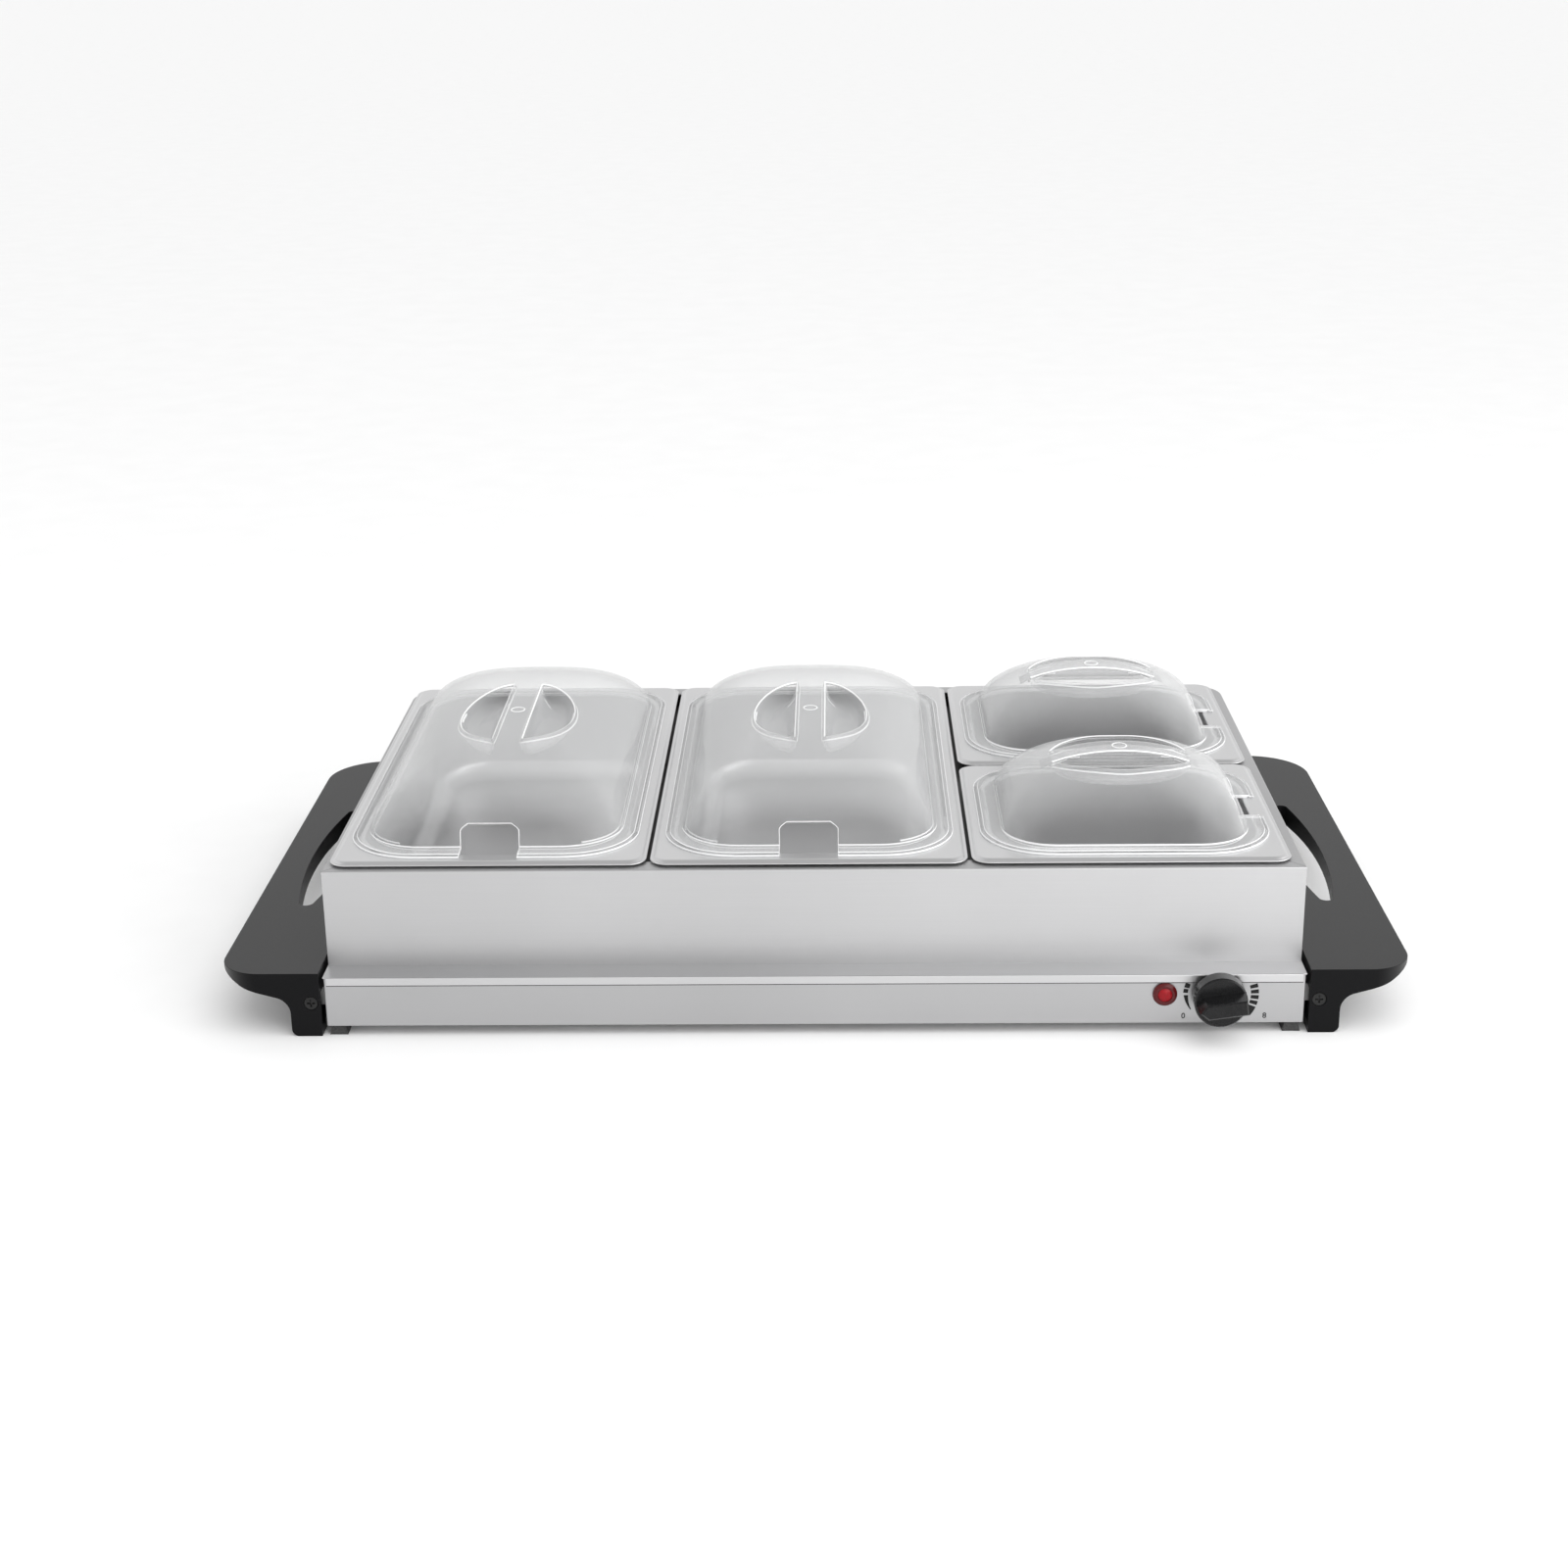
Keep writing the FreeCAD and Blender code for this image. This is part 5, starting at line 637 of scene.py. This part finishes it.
# A whiter, more opaque copy of the clear plastic: painted highlight for the lids' edges, rims and gate marks.
painted_highlight_plastic = clear_moulding("clear_lid_painted_highlight", (0.96, 0.965, 0.97), 0.75, 0.97, 0.15)
gate_radius, gate_stretch, gate_sunk = 0.0045, 1.1, 0.00012
gate_ring = [(0.00012, 0.00022), (0.00012, 0.00006), (0.00035, 0.0), (0.00012, -0.00006), (0.0001, -0.00022)]
for name in places:
    if name in ("left", "middle"):
        bm = lid_mesh(half_x=0.0815, half_y=0.156, crown=0.0368, fullness=3.0,
                      well_x=0.0339, well_y=0.0558, well_power=2.05)
        moulded(bm, places[name], quarter_turns=0)
    else:
        bm = lid_mesh(half_x=0.07435, half_y=0.0815, crown=0.0392, fullness=2.0,
                      well_x=0.0300, well_y=0.0411, well_power=1.955)
        moulded(bm, places[name], quarter_turns=1)
    crest = max(v.co.z for v in bm.verts)
    mesh = finished(bm, f"{name}_lid_moulding")
    place_piece(f"{name}_lid_moulding", mesh, f"{name}_lid_body", f"{name}_lid",
                [clear, painted_highlight_plastic])

    # The mark that the moulding gate leaves in the middle of the bar: a low oval ring.
    bm = bmesh.new()
    bmesh.ops.create_circle(bm, cap_ends=True, cap_tris=False, segments=40, radius=gate_radius)
    disc, = bm.faces
    step_in(bm, disc, gate_ring)
    bmesh.ops.delete(bm, geom=[disc], context="FACES")
    bmesh.ops.scale(bm, vec=(1.0, gate_stretch, 1), verts=bm.verts)
    bmesh.ops.translate(bm, vec=(*places[name], crest - gate_sunk), verts=bm.verts)
    mark = finished(bm, f"{name}_gate_mark")
    # The ring wears the lids' painted edge highlight.
    place_piece(f"{name}_gate_mark", mark, f"{name}_lid_body", None, [painted_highlight_plastic])

# Knob: a gloss black moulding with a grip across its face, pushed on the thermostat's shaft. It is
# a little wider than the plain solid.
gloss_black = mottled("gloss_black", (0.005, 0.005, 0.0055), (0.009, 0.009, 0.0095), 0.5, 0.22)
gloss_at_a_glance(gloss_black.node_tree, gloss_black.node_tree.nodes["Principled BSDF"],
                  face_on=0.25, slanting=0.6)
knob = merged_copy("knob", "control_knob", gloss_black, edge=0.0005)
knob_x, knob_z, knob_growth = 0.2228, 0.0234, 1.055
for v in knob.data.vertices:
    v.co.x = knob_x + (v.co.x - knob_x) * knob_growth
    v.co.z = knob_z + (v.co.z - knob_z) * knob_growth

# Signal lamp: a red lens in a dark red ring, pressed into the front of the base. The ring in front
# of the base is wider than that of the plain solid, and the barrel behind it isn't.
dark_red = mottled("dark_red", (0.06, 0.003, 0.004), (0.09, 0.005, 0.006), 0.6, 0.2, Specular_IOR_Level=0.3)
bezel = merged_copy("lamp_bezel", "base", dark_red, edge=0.0002)
lamp_x, lamp_z, in_front, barrel_radius, flange_growth = 0.1936, 0.0234, -0.1706, 0.0045, 1.5
for v in bezel.data.vertices:
    out_x, out_z = v.co.x - lamp_x, v.co.z - lamp_z
    radius = math.hypot(out_x, out_z)
    if v.co.y < in_front and radius > barrel_radius:
        wider = (barrel_radius + (radius - barrel_radius) * flange_growth) / radius
        v.co.x, v.co.z = lamp_x + out_x * wider, lamp_z + out_z * wider
bright_red = mottled("bright_red", (0.22, 0.004, 0.008), (0.29, 0.006, 0.011), 0.6, 0.3,
                     Specular_IOR_Level=0.2)
merged_copy("lamp_lens", "base", bright_red)

# Dial: black print on the base round the knob, bars that grow from 0 on the left to 8 on the right.
# Each bar is spun between two radii and then set to its own width.
dial_x, dial_z, print_face, print_height = 0.2244, 0.0229, -0.17070, 0.00006
spun_inner, spun_outer = 0.015, 0.020
figure_drop, figure_size, figure_swell = 0.0129, 0.0045, 0.00007
bm = bmesh.new()


def dial_bar(start, end, outer=(0.0208, 0.0208), width=(0.0044, 0.0044)):
    """One bar of the dial between two angles; its outer radius and width may grow along it."""
    ends = [bmesh.ops.create_vert(bm, co=(dial_x + radius * math.cos(math.radians(start)), print_face,
                                          dial_z + radius * math.sin(math.radians(start))))["vert"][0]
            for radius in (spun_inner, spun_outer)]
    spoke = bm.edges.new(ends)
    steps = max(2, round(abs(end - start) / 3))
    known = set(bm.verts) - set(ends)
    bmesh.ops.spin(bm, geom=ends + [spoke], cent=(dial_x, print_face, dial_z), axis=(0, -1, 0),
                   angle=math.radians(end - start), steps=steps, use_merge=False, use_duplicate=False)
    for v in set(bm.verts) - known:
        out_x, out_z = v.co.x - dial_x, v.co.z - dial_z
        now = math.hypot(out_x, out_z)
        angle = math.degrees(math.atan2(out_z, out_x))
        share = min(1.0, max(0.0, ((angle - start + 180) % 360 - 180) / (end - start)))
        rim = outer[0] + (outer[1] - outer[0]) * share
        if now < (spun_inner + spun_outer) / 2:
            rim -= width[0] + (width[1] - width[0]) * share
        v.co.x, v.co.z = dial_x + out_x * rim / now, dial_z + out_z * rim / now


dial_bar(209, 181, outer=(0.0188, 0.0205), width=(0.0005, 0.0025))
dial_bar(177, 170, width=(0.0026, 0.0026))
dial_bar(168, 160, width=(0.0029, 0.0029))
for middle in (15.2, 5.0, -5.0, -14.9):
    dial_bar(middle + 3.4, middle - 3.4)
dial_bar(-21.5, -37.5, width=(0.0048, 0.0048))
bmesh.ops.recalc_face_normals(bm, faces=bm.faces)
if sum(f.normal.y for f in bm.faces) > 0:
    bmesh.ops.reverse_faces(bm, faces=bm.faces)
bmesh.ops.solidify(bm, geom=bm.verts[:] + bm.edges[:] + bm.faces[:], thickness=-print_height)
for number, sideways in (("0", -0.0202), ("8", 0.0244)):
    figure = bpy.data.curves.new("dial_number", "FONT")
    figure.body, figure.size = number, figure_size
    figure.extrude, figure.offset = print_height / 2, figure_swell
    figure.align_x, figure.align_y = "CENTER", "CENTER"
    stand_in = bpy.data.objects.new("dial_number", figure)
    scene.collection.objects.link(stand_in)
    shape = bpy.data.meshes.new_from_object(stand_in.evaluated_get(bpy.context.evaluated_depsgraph_get()))
    bpy.data.objects.remove(stand_in)
    spot = (dial_x + sideways, print_face - print_height / 2, dial_z - figure_drop)
    shape.transform(Matrix.Translation(spot) @ Matrix.Rotation(math.pi / 2, 4, "X"))
    bm.from_mesh(shape)
bmesh.ops.remove_doubles(bm, verts=bm.verts, dist=0.000001)
ink = mottled("dial_ink", (0.008, 0.008, 0.008), (0.016, 0.016, 0.016), 1.5, 0.6, Specular_IOR_Level=0.2)
place_piece("dial_print", finished(bm, "dial_print"), "base", None, [ink])
